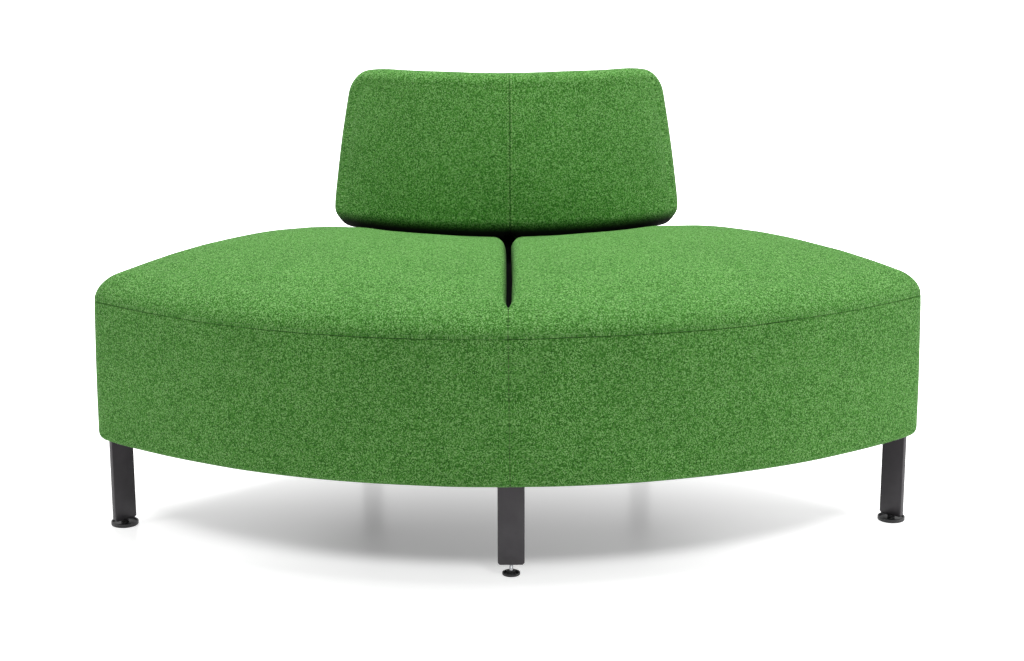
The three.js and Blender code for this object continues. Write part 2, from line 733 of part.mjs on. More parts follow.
function skirtOutline(outerInset, innerInset) {
  return [...frontAndSide(outerInset, clearance / 2), ...frontAndSide(innerInset, clearance / 2).reverse()];
}

function rearSkirtOutline(outerInset, innerInset) {
  const trimmed = (points) => points.map((point) =>
    polar(point.length(), angleOf(point) * (1 - clearance / (point.length() * halfSpan))));
  const near = trimmed(rearPart(outerInset, 0));
  const far = trimmed(rearPart(innerInset, 0));
  return [...near, ...flipped(near).slice(1), ...flipped(far).reverse(), ...far.reverse().slice(1)];
}

const skirtLayers = [
  { name: 'skirt_foam', outer: foamInset, inner: foamInset + skirtFoamThickness, material: finish.foam },
  { name: 'skirt_cover', outer: 0, inner: coverThickness, material: finish.fabric },
];
for (const layer of skirtLayers) {
  const right = prism(skirtOutline(layer.outer, layer.inner), undersideHeight, skirtTop);
  add(`${layer.name}_right`, right, layer.material);
  add(`${layer.name}_left`, mirrored(right), layer.material);
  add(`${layer.name}_rear`, prism(rearSkirtOutline(layer.outer, layer.inner), undersideHeight, skirtTop),
    layer.material);
}

const seatFoam = cut(seatFoamHalf(), [slotFor(bracketAngle, foamBottom - overrun, skirtTop + overrun)]);
add('seat_foam_right', seatFoam, finish.foam);
add('seat_foam_left', mirrored(seatFoam), finish.foam);
const cushion = cut(cushionHalf(), [slotFor(bracketAngle, seamHeight - overrun, backBottom)]);
add('seat_cushion_right', cushion, finish.fabric);
add('seat_cushion_left', mirrored(cushion), finish.fabric);

// Assembly: legs and levelling feet

for (const leg of legs) {
  add(`leg_${leg.name}`, legGeometry(leg.bottom), finish.coatedSteel).applyMatrix4(leg.frame);
  const front = leg.name === 'front';
  const [radius, height, hub] = front ? [frontPadRadius, frontPadHeight, frontHubHeight]
    : [cornerPadRadius, cornerPadHeight, cornerHubHeight];
  const studBottom = height + hub - studSeat + clearance;
  add(`foot_pad_${leg.name}`, padGeometry(radius, height, hub), finish.blackPlastic).applyMatrix4(leg.frame);
  add(`foot_stud_${leg.name}`, rod(studRadius, studBottom, studBottom + studLength), finish.zincSteel)
    .applyMatrix4(leg.frame);
  legScrewPlaces.forEach(([x, y], i) => {
    const seat = shift(x, y, legTop - legPlateThickness - clearance);
    add(`leg_screw_${leg.name}_${i + 1}`, legScrew(), finish.zincSteel)
      .applyMatrix4(leg.frame.clone().multiply(seat));
  });
}

// Assembly: backrest

const shellPocket = conePlate(shellHalfWidth + clearance, shellBorder - clearance,
  backHeight - shellBorder + clearance, shellFront - clearance, rearPanelDepth + overrun);
const shellHoles = bracketSides.flatMap((angle) =>
  holesFor(shellBoltFrames.map((frame) => leanFrame(angle).multiply(frame))));

add('backrest_cushion', cut(backBody(rearPanelDepth, 0, backEdge, backBulge, -1),
  [shellPocket, ...bracketSides.map(bracketPocket)]), finish.fabric);
add('backrest_shell', cut(conePlate(shellHalfWidth, shellBorder, backHeight - shellBorder, shellFront, shellRear),
  shellHoles), finish.plywood);
add('backrest_wadding', conePlate(shellHalfWidth, shellBorder, backHeight - shellBorder, shellRear + clearance,
  rearPanelDepth), finish.foam);
const rearEdge = Math.min(backRearEdge, backRearPanelThickness - 2 * clearance);
add('backrest_rear_panel', backBody(rearPanelDepth + clearance, backThickness, rearEdge, backRearBulge, 1),
  finish.fabric);
for (const angle of bracketSides) {
  const side = angle < 0 ? 'left' : 'right';
  add(`bracket_${side}`, cut(bracketGeometry(), holesFor(boltFrames(0))), finish.coatedSteel).rotation.z = angle;
  boltFrames(angle).forEach((frame, i) => {
    const bolt = screw(boltRadius, boltHeadRadius, boltHeadHeight, boltReach);
    add(`bracket_bolt_${side}_${i + 1}`, bolt, finish.zincSteel).applyMatrix4(frame);
  });
}

// The origin is the middle of the footprint, on the floor.

sofa.updateMatrixWorld(true);
const bounds = new THREE.Box3().setFromObject(sofa, true);
const middle = bounds.getCenter(new THREE.Vector3());
sofa.position.set(-middle.x, -middle.y, -bounds.min.z);

export default sofa;
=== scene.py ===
"""Curved sofa module: sewn covers, threads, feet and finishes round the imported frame.

Metres, +Z up, the floor is z = 0 and the sitter faces -Y. Plan points are drawn about the middle of the arcs.
"""

from functools import cache, partial
from math import asin, atan2, cos, exp, pi, radians, sin, sqrt, tau

import bmesh
import bpy
import numpy as np
from mathutils import Matrix, Vector
from mathutils.bvhtree import BVHTree
from mathutils.kdtree import KDTree
from mathutils.noise import noise


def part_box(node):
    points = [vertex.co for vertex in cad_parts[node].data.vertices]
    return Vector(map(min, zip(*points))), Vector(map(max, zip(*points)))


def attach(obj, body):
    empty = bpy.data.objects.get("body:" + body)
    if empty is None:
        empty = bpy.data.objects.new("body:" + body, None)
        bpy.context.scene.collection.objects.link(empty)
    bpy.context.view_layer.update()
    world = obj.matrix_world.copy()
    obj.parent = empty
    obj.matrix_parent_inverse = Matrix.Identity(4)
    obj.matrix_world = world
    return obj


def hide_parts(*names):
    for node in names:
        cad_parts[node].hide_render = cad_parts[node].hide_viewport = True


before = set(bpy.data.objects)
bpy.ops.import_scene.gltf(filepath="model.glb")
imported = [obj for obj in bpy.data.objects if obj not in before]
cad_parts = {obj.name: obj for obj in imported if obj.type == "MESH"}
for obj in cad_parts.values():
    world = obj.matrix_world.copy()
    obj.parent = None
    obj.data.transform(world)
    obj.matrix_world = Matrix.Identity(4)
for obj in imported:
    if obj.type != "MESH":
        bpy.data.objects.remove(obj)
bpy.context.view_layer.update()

# Seat plan and heights
OUTER_RADIUS = 0.930
INNER_RADIUS = 0.345
HALF_SPAN = radians(45)
OUTER_CORNER = 0.038
INNER_CORNER = 0.030
LEAST_CORNER = 0.003
SKIRT_LOW, SKIRT_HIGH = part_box("skirt_cover_right")
ARC_Y = SKIRT_LOW.y + OUTER_RADIUS
UNDERSIDE = SKIRT_LOW.z
SKIRT_TOP = SKIRT_HIGH.z
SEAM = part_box("seat_cushion_right")[0].z
HALF_GAP = 0.00015  # half of the gap where two covers are sewn together

# Seat cushion
EDGE_RISE = 0.0325
EDGE_RUN = 0.056
CROWN_RISE = 0.031
CORNER_RISE, CORNER_REACH = 0.0027, 0.19  # fullness beside the outer corners
CROWN_SWELL = 0.0032  # of the filled cover, above the drawn crown
HALF_CROWN_RISE = 0.004
SEAM_STAND = 0.002
SEAM_DIP = 0.0009
SEAM_TUCK = 0.0006  # of the cover's edge, behind the dip
SLIT_HALF_GAP = 0.0041
SLIT_EDGE = 0.016
SLIT_TIP_SETBACK = 0.0340
SLIT_FADE = 0.060
SLIT_REAR_CORNER = 0.020
SLIT_FLARE = 0.006  # of each lip, toward the rear
FLARE_START, FLARE_END = 0.495, 0.360
SEAM_EDGE = 0.002
# Rises of the seam, from one place toward the right to another
SEAM_RISES = ((-0.49, -0.41, -0.0015), (-0.15, -0.08, 0.0015), (0.02, 0.12, 0.0016), (0.36, 0.48, 0.0020))
SEAM_RISE_REACH = 0.025
LINING_TUCK = 0.0012  # of the lining's edges, into the slit's walls
LIP_PAINTED_SHADES = (0.30, 0.60)  # painted shade on the slit's right and left lip
LIP_PAINTED_SHADE_REACH = 0.0070
SEAM_PAINTED_SHADE_REACH = 0.0008
LINING_RISE = 0.024  # of the slit's lining, behind the backrest's front
GUSSET_RADIUS = 0.354
GUSSET_HALF_WIDTH = 0.044
GUSSET_GAP = 0.0004

# Cover of the box
CLOTH = 0.0016
HEM_ROUND = 0.0115
HEM_DROP = 0.002  # of the hem's fold below the dust cover
TOP_ROUND = 0.002
HEM_END = 0.0143  # where the hem meets the dust cover
SKIRT_BULGE = 0.0036
ALLOWANCE_END = 0.010
FOAM_FACE = 0.0021
FOAM_BACK = 0.0143
FOAM_ROUND = 0.009
FOAM_GAP = 0.0005

# Backrest
BACK_LEAN = radians(11)
BACK_FRONT_RADIUS = INNER_RADIUS + 0.079
BACK_SEAT_GAP = 0.00165
BACK_HEIGHT = 0.2675
BACK_HALF_WIDTH = 0.324
BACK_TOP_CORNER = 0.038
BACK_LOW_CORNER = 0.029
BACK_TOP_RISE = 0.0038
BACK_SIDE_BULGE = 0.0045
SHOULDER_START = 0.735  # share of the half width
SHOULDER_DROP = 0.0135
BACK_EDGE = 0.022
BACK_LOW_EDGE = 0.036  # depth of the rounding along the lower edge
BACK_LOW_REACH = 0.045
BACK_REAR_EDGE = 0.011
BACK_BULGE = 0.008
BACK_REAR_BULGE = 0.002
BACK_PARTING = 0.06631  # depth of the seam between the cushion and the rear panel
BACK_THICKNESS = 0.08001
PARTING_DIP = 0.0012
PARTING_GAP = 0.0003
REST_SAG = 0.004  # the most that its lower edge drops to lie on the seat
REST_GAP = 0.0004
FOLD_LOW, FOLD_HIGH = 0.004, 0.029  # heights between which painted shade takes the cover to near black, where it turns under
# Painted shade in the middle seam's crease, and the distances over which it fades
CREASE_PAINTED_SHADE = 0.35
CREASE_START, CREASE_END = 0.0004, 0.0013
SEAM_CUTS = (0.0005, 0.0012, 0.0022, 0.0036, 0.0052)  # edges on both sides of the middle seam
SEAM_DEEP, SEAM_WIDE = 0.0024, 0.0011
WELT_RISE, WELT_PLACE, WELT_WIDE = 0.0006, 0.0036, 0.0016
BACK_TURN = 0.0052  # about the middle of the arcs, to the right

# Where the middle seams lie beside the middle plane
ASIDE_REACH = 0.08
BACK_ASIDE = 0.0034
SEAT_ASIDE_REAR, SEAT_ASIDE_FRONT = 0.0016, -0.0045
ASIDE_START = 0.50
ASIDE_AT_HEM = 0.42  # share of the shift at the seam below the slit

# Fineness of the meshes
ACROSS, ALONG, CORNER, EDGE_STEPS = 60, 56, 5, 9
BACK_ACROSS, BACK_UP = 60, 28

# Cloth
START_SHRINK = 0.003
SIM_FRAMES = 20
CLOTH_SETTINGS = {
    "quality": 6, "mass": 0.3, "tension_stiffness": 25, "compression_stiffness": 25, "shear_stiffness": 12,
    "bending_stiffness": 1.5, "use_pressure": True, "uniform_pressure_force": 4.0}
SEAT_CAP, BACK_CAP, BACK_REAR_CAP = 0.004, 0.004, 0.0015  # the most that the filling swells a cover
SEAT_SWELLS = ((0.0009, 0.11), (0.00035, 0.035))  # height and length of the uneven swells
SKIRT_SWELL, BACK_SWELL = (0.0005, 0.09), (0.0007, 0.10)
DRAWN_IN = 0.0006  # how far the filled cloth may end inside the drawn shape
EASE_REACH = 0.016
EASE_FROM, EASE_FULL = 0.010, 0.035  # distances from the sewn lines

# Stitching
SEAT_STITCH_PITCH = 0.0034
SEAT_STITCH_UP = 0.0034  # above the seam
BACK_STITCH_PITCH = 0.0052
STITCH_TURN = radians(37)  # how far round the top edge the rows follow the face
BACK_STITCH_ASIDE = 0.0032  # either side of the backrest's middle seam
THREAD_RADIUS = 0.00055
SEAT_THREAD_RADIUS = 0.0004

# Weave
YARN_PITCH = 0.0014
YARN_WANDER = 0.0011
FABRIC_SHADES = ((0.16, (30, 79, 20)), (0.42, (80, 149, 55)), (0.58, (111, 183, 85)), (0.84, (176, 229, 146)))
PLY = 0.0018

# Legs, feet and fasteners
LEGS = ("front", "corner_left", "corner_right", "rear_left", "rear_right")
BAR_ROUND = 0.0006
THREAD_PITCH = 0.001
THREAD_DEPTH = 0.0005
STUD_CHAMFER = 0.0008
FRONT_RIM, REAR_RIM = 0.0040, 0.0060  # heights of the pads' rims
RIM_FOOT = 0.0008
RIM_PROFILE = ((0, 0.0009), (0.0003, 0.0003), (0.0009, 0), (0.0021, 0), (0.0025, 0.0004))  # inward, down
RIM_WALL = 0.0027
RING_DEPTH = 0.45  # share of the rim's height
HUB_RADIUS, HUB_ROUND, HUB_EDGE = 0.006, 0.0006, 0.0005
SOCKET_RADIUS, SOCKET_EDGE, SOCKET_DEPTH = 0.0033, 0.0003, 0.0036
KNURLS, KNURL_DEPTH, KNURL_START = 30, 0.00035, 0.0007
FIXING_HEADS = {"leg_screw_": (0.005, 0.003), "bracket_bolt_": (0.006, 0.004)}  # radius, height
SCREW_EDGE = 0.0002

# Studio
CAMERA_DISTANCE = 3.7624  # from the middle of the arcs, along the floor
CAMERA_HEIGHT = 1.0834
CAMERA_ASIDE = -0.0398
CAMERA_TILT, CAMERA_YAW, CAMERA_ROLL = radians(13.87), radians(-0.828), radians(-0.081)
FOCAL_LENGTH = 72.07  # on a 36 mm wide sensor
LAMPS = {  # place, target, size, power
    "key": ((1.2, -2.2, 3.2), (0, 0, 0.3), 0.9, 22), "left": ((-2.4, -1.0, 2.4), (0, 0, 0.3), 0.9, 8),
    "top": ((0.2, 0.5, 3.4), (0, 0, 0.3), 2.4, 96),
    "fill_right": ((1.9, -0.6, 0.35), (0.53, -0.2, 0.25), 0.5, 6.2),
    "fill_left": ((-1.9, -0.6, 0.35), (-0.53, -0.2, 0.25), 0.5, 3.1)}
# Painted light: what the floor gives off to the eye, a base and gains between two distances or places, which lighten
# its shadow more in some places than others
FLOOR_LIFT = 0.205
FLOOR_PAINTED_LIGHT_GAINS = ((0.10, 0.66, 0.20), (0.90, 1.60, 0.60), (-0.22, 0.75, 0.22), (-0.14, 0.30, 0.49), (0.80, 0.88, 0.33))
AMBIENT = 0.15


# Plan of the seat, right half

def polar(radius, angle):
    return np.array([radius * sin(angle), -radius * cos(angle)])


def angle_of(point):
    return atan2(point[0], -point[1])


SIDE_ALONG = polar(1, HALF_SPAN)
SIDE_INWARD = np.array([-cos(HALF_SPAN), -sin(HALF_SPAN)])


def beside_side(radius, offset):
    return sqrt(radius**2 - offset**2) * SIDE_ALONG + offset * SIDE_INWARD


def arc_points(centre, radius, start, end, shares):
    angles = [start + (end - start) * share for share in shares]
    return [centre + radius * np.array([cos(angle), sin(angle)]) for angle in angles]


def even(steps):
    return [i / steps for i in range(steps + 1)]


def outer_corner(inset, shares):
    radius = max(OUTER_CORNER - inset, LEAST_CORNER)
    centre = beside_side(OUTER_RADIUS - inset - radius, inset + radius)
    return arc_points(centre, radius, atan2(centre[1], centre[0]), HALF_SPAN, shares)


def inner_corner(inset, shares):
    radius = max(INNER_CORNER - inset, LEAST_CORNER)
    centre = beside_side(INNER_RADIUS + inset + radius, inset + radius)
    return arc_points(centre, radius, HALF_SPAN, atan2(centre[1], centre[0]) + pi, shares)


def mix(a, b, share):
    return a + (b - a) * share


def smoothstep(value, low, high):
    share = np.clip((value - low) / (high - low), 0, 1)
    return share * share * (3 - 2 * share)


# Closed meshes through rings

def grid_index(i, j, across, along):
    """Place on the ring of a point on the edge of the grid that fills it."""
    if j == 0:
        return i
    if i == across:
        return across + j
    if j == along:
        return across + along + (across - i)
    return (2 * across + along + (along - j)) % (2 * (across + along))


def run_share(start, point, end):
    return np.linalg.norm(point - start) / np.linalg.norm(end - start)


def blend(plan, i, j, across, along):
    """A point of the grid inside a four-sided ring, blended from the four sides as far along as they are."""
    def at(a, b):
        return plan[grid_index(a, b, across, along)]
    corners = at(0, 0), at(across, 0), at(0, along), at(across, along)
    u = mix(run_share(corners[0], at(i, 0), corners[1]), run_share(corners[2], at(i, along), corners[3]), j / along)
    v = mix(run_share(corners[0], at(0, j), corners[2]), run_share(corners[1], at(across, j), corners[3]), i / across)
    sides = mix(at(i, 0), at(i, along), v) + mix(at(0, j), at(across, j), u)
    return sides - mix(mix(corners[0], corners[1], u), mix(corners[2], corners[3], u), v)


def lofted(name, rings, plans, across, along, first_place, last_place):
    """A closed mesh through rings of equal length. The ends are filled by grids, each point put in place by a
    function of its plan point. The weave coordinates unroll the sides round the last ring."""
    count, last = len(plans[0]), len(rings) - 1
    points = [point for ring in rings for point in ring]
    weave = [None] * last + [[np.array(point) for point in plans[last]]]
    for level in range(last - 1, -1, -1):
        weave[level] = []
        for k in range(count):
            outward = plans[level][k] - plans[level + 1][k]
            length = np.linalg.norm(outward)
            if length < 1e-5:
                outward = weave[level + 1][k] - plans[last][k]
                length = np.linalg.norm(outward)
            step = np.linalg.norm(np.subtract(rings[level][k], rings[level + 1][k]))
            weave[level].append(weave[level + 1][k] + outward / max(length, 1e-9) * step)
    threads = [point for ring in weave for point in ring]
    faces = []
    for level in range(last):
        for k in range(count):
            after = (k + 1) % count
            faces.append([level * count + k, level * count + after, (level + 1) * count + after,
                          (level + 1) * count + k])
    for level, place, flip in ((last, last_place, False), (0, first_place, True)):
        index = {}
        for i in range(across + 1):
            for j in range(along + 1):
                if i in (0, across) or j in (0, along):
                    index[i, j] = level * count + grid_index(i, j, across, along)
                else:
                    index[i, j] = len(points)
                    plan = blend(plans[level], i, j, across, along)
                    points.append(place(plan))
                    threads.append(plan)
        for i in range(across):
            for j in range(along):
                face = [index[i, j], index[i + 1, j], index[i + 1, j + 1], index[i, j + 1]]
                faces.append(face[::-1] if flip else face)
    return piece(name, points, faces, threads)


def piece(name, points, faces, threads=None):
    """A smooth mesh object, turned outward, with its weave coordinates as a point attribute."""
    mesh = bpy.data.meshes.new(name)
    mesh.from_pydata([Vector(point) for point in points], [], faces)
    if threads is not None:
        values = np.zeros((len(threads), 3), np.float32)
        values[:, :2] = np.array(threads)[:, :2]
        mesh.attributes.new("weave", "FLOAT_VECTOR", "POINT").data.foreach_set("vector", values.ravel())
    edit(mesh, lambda b: bmesh.ops.recalc_face_normals(b, faces=b.faces))
    mesh.shade_smooth()
    return added(name, mesh)


def added(name, data):
    made = bpy.data.objects.new(name, data)
    bpy.context.scene.collection.objects.link(made)
    return made


def edit(mesh, change):
    """Runs a change on a mesh's bmesh."""
    work = bmesh.new()
    work.from_mesh(mesh)
    change(work)
    work.to_mesh(mesh)
    work.free()
    mesh.update()


def coordinates(mesh, key="co"):
    values = np.empty(len(mesh.vertices) * 3, np.float32)
    mesh.vertices.foreach_get(key, values)
    return values.reshape(-1, 3).astype(float)


def set_coordinates(mesh, values):
    mesh.vertices.foreach_set("co", np.asarray(values, np.float32).ravel())
    mesh.update()


def normals(mesh):
    return coordinates(mesh, "normal")


def settle(thing, height, length, seed):
    """Small uneven swells along the normals, as filling leaves them."""
    places = coordinates(thing.data)
    swell = np.array([noise(Vector(place) / length + Vector((seed, 0, 0))) for place in places])
    set_coordinates(thing.data, places + normals(thing.data) * (height * swell)[:, None])


def subdivided(thing):
    modifier = thing.modifiers.new("finer", "SUBSURF")
    modifier.levels = modifier.render_levels = 1
    bake_modifiers(thing)


def bake_modifiers(thing):
    graph = bpy.context.evaluated_depsgraph_get()
    done = bpy.data.meshes.new_from_object(thing.evaluated_get(graph), depsgraph=graph)
    thing.modifiers.clear()
    old, thing.data = thing.data, done
    bpy.data.meshes.remove(old)


def tree_of_points(places, numbers):
    tree = KDTree(len(numbers))
    for k in numbers:
        tree.insert(places[k], k)
    tree.balance()
    return tree


def eased(places, values, sewn):
    """Values averaged over their neighbourhood, except beside the sewn lines."""
    points, seams = tree_of_points(places, range(len(places))), tree_of_points(places, sewn)
    found = values.copy()
    for k, place in enumerate(places):
        share = smoothstep(seams.find(place)[2], EASE_FROM, EASE_FULL)
        if share > 0:
            near = [(index, exp(-(away / EASE_REACH)**2))
                    for _, index, away in points.find_range(place, 2 * EASE_REACH)]
            mean = sum(values[index] * weight for index, weight in near) / sum(weight for _, weight in near)
            found[k] = mix(values[k], mean, share)
    return found


def inflate(thing, pinned, cap):
    """Cloth filled from inside: sewn lines are pinned, and no point swells further than the cap."""
    drawn = coordinates(thing.data)
    outward = normals(thing.data)
    free = np.ones(len(drawn))
    free[list(pinned)] = 0
    start = drawn - outward * (START_SHRINK * free)[:, None]
    set_coordinates(thing.data, start)
    group = thing.vertex_groups.new(name="sewn")
    group.add([int(i) for i in pinned], 1.0, "REPLACE")
    cloth = thing.modifiers.new("filling", "CLOTH")
    for key, value in CLOTH_SETTINGS.items():
        setattr(cloth.settings, key, value)
    cloth.settings.vertex_group_mass = group.name
    cloth.settings.effector_weights.gravity = 0
    cloth.point_cache.frame_start, cloth.point_cache.frame_end = 1, SIM_FRAMES
    for step in range(1, SIM_FRAMES + 1):
        bpy.context.scene.frame_set(step)
    graph = bpy.context.evaluated_depsgraph_get()
    swell = ((coordinates(thing.evaluated_get(graph).data) - drawn) * outward).sum(1)
    thing.modifiers.clear()
    thing.vertex_groups.clear()
    bpy.context.scene.frame_set(1)
    limit = np.where(swell > 0, cap, DRAWN_IN)
    swell = eased(drawn, limit * np.tanh(swell / limit), pinned) * free
    set_coordinates(thing.data, drawn + outward * swell[:, None])


def mirrored(thing, name):
    copy = added(name, thing.data.copy())
    places = coordinates(copy.data)
    places[:, 0] *= -1
    set_coordinates(copy.data, places)
    copy.data.flip_normals()
    return copy


# Seat cushion halves

def slit_openness(y):
    """1 behind the slit's closed end, 0 in front of it."""
    tip = OUTER_RADIUS - SLIT_TIP_SETBACK
    return np.sqrt(1 - smoothstep(-y, tip - SLIT_FADE, tip))


def slit_flare(y):
    """How much further each lip stands from the middle toward the rear."""
    return SLIT_FLARE * smoothstep(y, -FLARE_START, -FLARE_END)


def crown_share(radius):
    across = (radius - INNER_RADIUS) / (OUTER_RADIUS - INNER_RADIUS)
    return 1 - (2 * across - 1)**2


def seat_top(point):
    half_crown = 1 - (2 * abs(angle_of(point)) / HALF_SPAN - 1)**2
    crown = crown_share(np.linalg.norm(point)) * (CROWN_RISE + CROWN_SWELL + HALF_CROWN_RISE * half_crown)
    from_corner = np.linalg.norm(np.abs(point) - polar(OUTER_RADIUS, HALF_SPAN) * (1, -1))
    return SEAM + EDGE_RISE + crown + CORNER_RISE * exp(-(from_corner / CORNER_REACH)**2)


def cushion_ring(share, dip):
    """One closed ring of the right half in plan, drawn in by a share of the edge's run."""
    inset = dip + share * EDGE_RUN
    outer, inner = outer_corner(inset, even(2 * CORNER)), inner_corner(inset, even(2 * CORNER))
    middle_x = SLIT_HALF_GAP + dip + share * SLIT_EDGE
    seam_x = HALF_GAP + share * SEAM_EDGE
    front = OUTER_RADIUS - inset
    start_x = mix(seam_x, middle_x, slit_openness(-front))
    front_angles = np.linspace(asin(start_x / front), angle_of(outer[0]), ACROSS - CORNER, endpoint=False)
    arc = [polar(front, angle) for angle in front_angles]
    side_steps = ALONG - 2 * CORNER
    side = [mix(outer[-1], inner[0], i / side_steps) for i in range(1, side_steps)]
    radius = max(SLIT_REAR_CORNER * (1 - share / 2), LEAST_CORNER)
    centre_x = middle_x + SLIT_FLARE + radius
    centre = np.array([centre_x, -sqrt((INNER_RADIUS + inset + radius)**2 - centre_x**2)])
    rear = arc_points(centre, radius, atan2(-centre[1], -centre[0]), pi, even(2 * CORNER))
    back_steps = ACROSS - 2 * CORNER
    from_angle, to_angle = angle_of(inner[-1]), angle_of(rear[0])
    back = [polar(INNER_RADIUS + inset, mix(from_angle, to_angle, i / back_steps)) for i in range(1, back_steps)]
    slit_count = ALONG - CORNER - 1
    slit = []
    for k in range(1, slit_count + 1):
        along = 1 - (1 - k / (slit_count + 1))**1.5
        y = mix(rear[-1][1], -front, along)
        slit.append(np.array([mix(seam_x, middle_x + slit_flare(y), slit_openness(y)), y]))
    return arc + outer + side + inner + back + rear + slit


def edge_drop(point, place, share):
    """The height that the edge's rounding takes off at a point of a ring."""
    full = seat_top(point) - SEAM - SEAM_STAND
    rounding = 1 - sin(share * pi / 2)
    rear_corner_start = 2 * ACROSS + ALONG - CORNER
    if place <= rear_corner_start:
        return full * rounding
    turn_share = min((place - rear_corner_start) / (2 * CORNER), 1)
    slit_drop = mix(SEAM_EDGE, SLIT_EDGE, slit_openness(point[1]))
    from_front = min(max((OUTER_RADIUS - np.linalg.norm(point)) / EDGE_RUN, 0), 1)
    front_drop = full * (1 - sqrt(1 - (1 - from_front)**2))
    return max(mix(full, slit_drop, turn_share) * rounding, front_drop)


def on_seat(point, height):
    return (point[0], point[1] + ARC_Y, height)


def seat_half(name):
    shares = even(EDGE_STEPS)
    lip = [(SEAM_DIP + SEAM_TUCK, 0.0), (SEAM_DIP * 0.4, SEAM_STAND * 0.35)]
    plans = [cushion_ring(0, dip) for dip, _ in lip] + [cushion_ring(1 - cos(t * pi / 2), 0) for t in shares]
    rings = [[on_seat(point, SEAM + up) for point in plan] for plan, (_, up) in zip(plans, lip)]
    for plan, share in zip(plans[len(lip):], shares):
        rings.append([on_seat(point, seat_top(point) - edge_drop(point, place, share))
                      for place, point in enumerate(plan)])
    made = lofted(name, rings, plans, ACROSS, ALONG, lambda plan: on_seat(plan, SEAM),
                  lambda plan: on_seat(plan, seat_top(plan)))
    ring_size, first_cap = 2 * (ACROSS + ALONG), (ACROSS - 1) * (ALONG - 1)
    sewn = list(range((len(lip) + 1) * ring_size))
    sewn += range(len(rings) * ring_size + first_cap, len(made.data.vertices))
    inflate(made, sewn, SEAT_CAP)
    return made


def strip(name, sections):
    """A black lining strip through four-cornered sections, a dark sheet that also paints shade."""
    points, faces = [], []
    for k, section in enumerate(sections):
        points += section
        if k:
            for s in range(4):
                a, b = 4 * (k - 1) + s, 4 * (k - 1) + (s + 1) % 4
                faces.append([a, b, b + 4, a + 4])
    faces += [[3, 2, 1, 0], [len(points) - 4 + s for s in range(4)]]
    made = piece(name, points, faces)
    sharpen(made, 40)
    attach(made, "frame")
    dress(made, "dust_lining")
    return made


def make_slit_lining():
    """Closes the slit low down between the halves, and turns up behind them at the rear: it stops the light through
    the slit, and its black paints the shade deep in the slit.
    """
    sections = []
    for radius in np.linspace(OUTER_RADIUS - SLIT_TIP_SETBACK, INNER_RADIUS + SLIT_REAR_CORNER, 60):
        gap = mix(HALF_GAP, SLIT_HALF_GAP + slit_flare(-radius), slit_openness(-radius))
        half, y, low = gap + LINING_TUCK, ARC_Y - radius, SEAM + SEAM_STAND
        rise = LINING_RISE * smoothstep(-radius, -(BACK_FRONT_RADIUS + 0.004), -(INNER_RADIUS + SLIT_REAR_CORNER))
        high = low + CLOTH + rise
        sections.append([(-half, y, low), (half, y, low), (half, y, high), (-half, y, high)])
    return strip("slit_lining", sections)


def heights(trees, place, way):
    hits = [tree.ray_cast(Vector(place), Vector((0, 0, way)))[0] for tree in trees]
    return [hit.z for hit in hits if hit]


def make_slit_gusset(halves, rests):
    """Closes the notch behind the slit, upright under the backrest: it stops the light through the notch, and its
    black paints the shade under the backrest's edge.
    """
    seats, rests = [tree_of(half) for half in halves], [tree_of(rest) for rest in rests]
    sections = []
    for x in np.linspace(-GUSSET_HALF_WIDTH, GUSSET_HALF_WIDTH, 41):
        y = ARC_Y - sqrt(GUSSET_RADIUS**2 - x**2)
        low = max([SKIRT_TOP] + heights(seats, (x, y, BACK_BOTTOM + BACK_HEIGHT), -1)) + GUSSET_GAP
        high = min([BACK_BOTTOM] + heights(rests, (x, y, UNDERSIDE), 1)) - GUSSET_GAP
        high = max(high, low + GUSSET_GAP)
        sections.append([(x, y, low), (x, y - CLOTH, low), (x, y - CLOTH, high), (x, y, high)])
    return strip("slit_gusset", sections)


def make_seat():
    right = seat_half("seat_half_right")
    left = mirrored(right, "seat_half_left")
    # Each half's shade here is the painted shade of its lip.
    for half, side, seed, shade in zip((right, left), ("right", "left"), (3, 8), LIP_PAINTED_SHADES):
        settle(half, *SEAT_SWELLS[0], seed)
        subdivided(half)
        settle(half, *SEAT_SWELLS[1], seed)
        hold_clear(half)
        paint_lip_shade(half, shade)
        stand_in(half, f"seat_cushion_{side}", "cover_fabric")
    return right, left


def mark_painted_shade(thing, values):
    """Sets the painted shade of the cover at each point, as a share of near black."""
    thing.data.attributes.new("painted_shade", "FLOAT", "POINT").data.foreach_set("value", values.astype(np.float32))


def paint_lip_shade(half, shade):
    """Painted shade on the slit's lip, and on a thin line along the seam in front of it."""
    places = coordinates(half.data)
    back = places[:, 1] - ARC_Y
    openness = slit_openness(back)
    lip = mix(HALF_GAP, SLIT_HALF_GAP + slit_flare(back), openness)
    reach = mix(SEAM_PAINTED_SHADE_REACH, LIP_PAINTED_SHADE_REACH, openness)
    mark_painted_shade(half, shade * (1 - smoothstep(np.abs(places[:, 0]) - lip, 0, reach)))


def hold_clear(half):
    """Keeps a half on its own side of the middle plane."""
    places = coordinates(half.data)
    side = 1 if places[:, 0].mean() > 0 else -1
    places[:, 0] = side * np.maximum(side * places[:, 0], HALF_GAP)
    set_coordinates(half.data, places)


# Cover round the box

def seam_steps(length):
    """Places along a length in metres, close together beside its sewn start."""
    near = [0, 0.0008, 0.0018, 0.003, 0.005, 0.008, 0.013]
    rest = max(int((length - near[-1]) / 0.016), 2)
    return near + [mix(near[-1], length, i / rest) for i in range(1, rest + 1)]


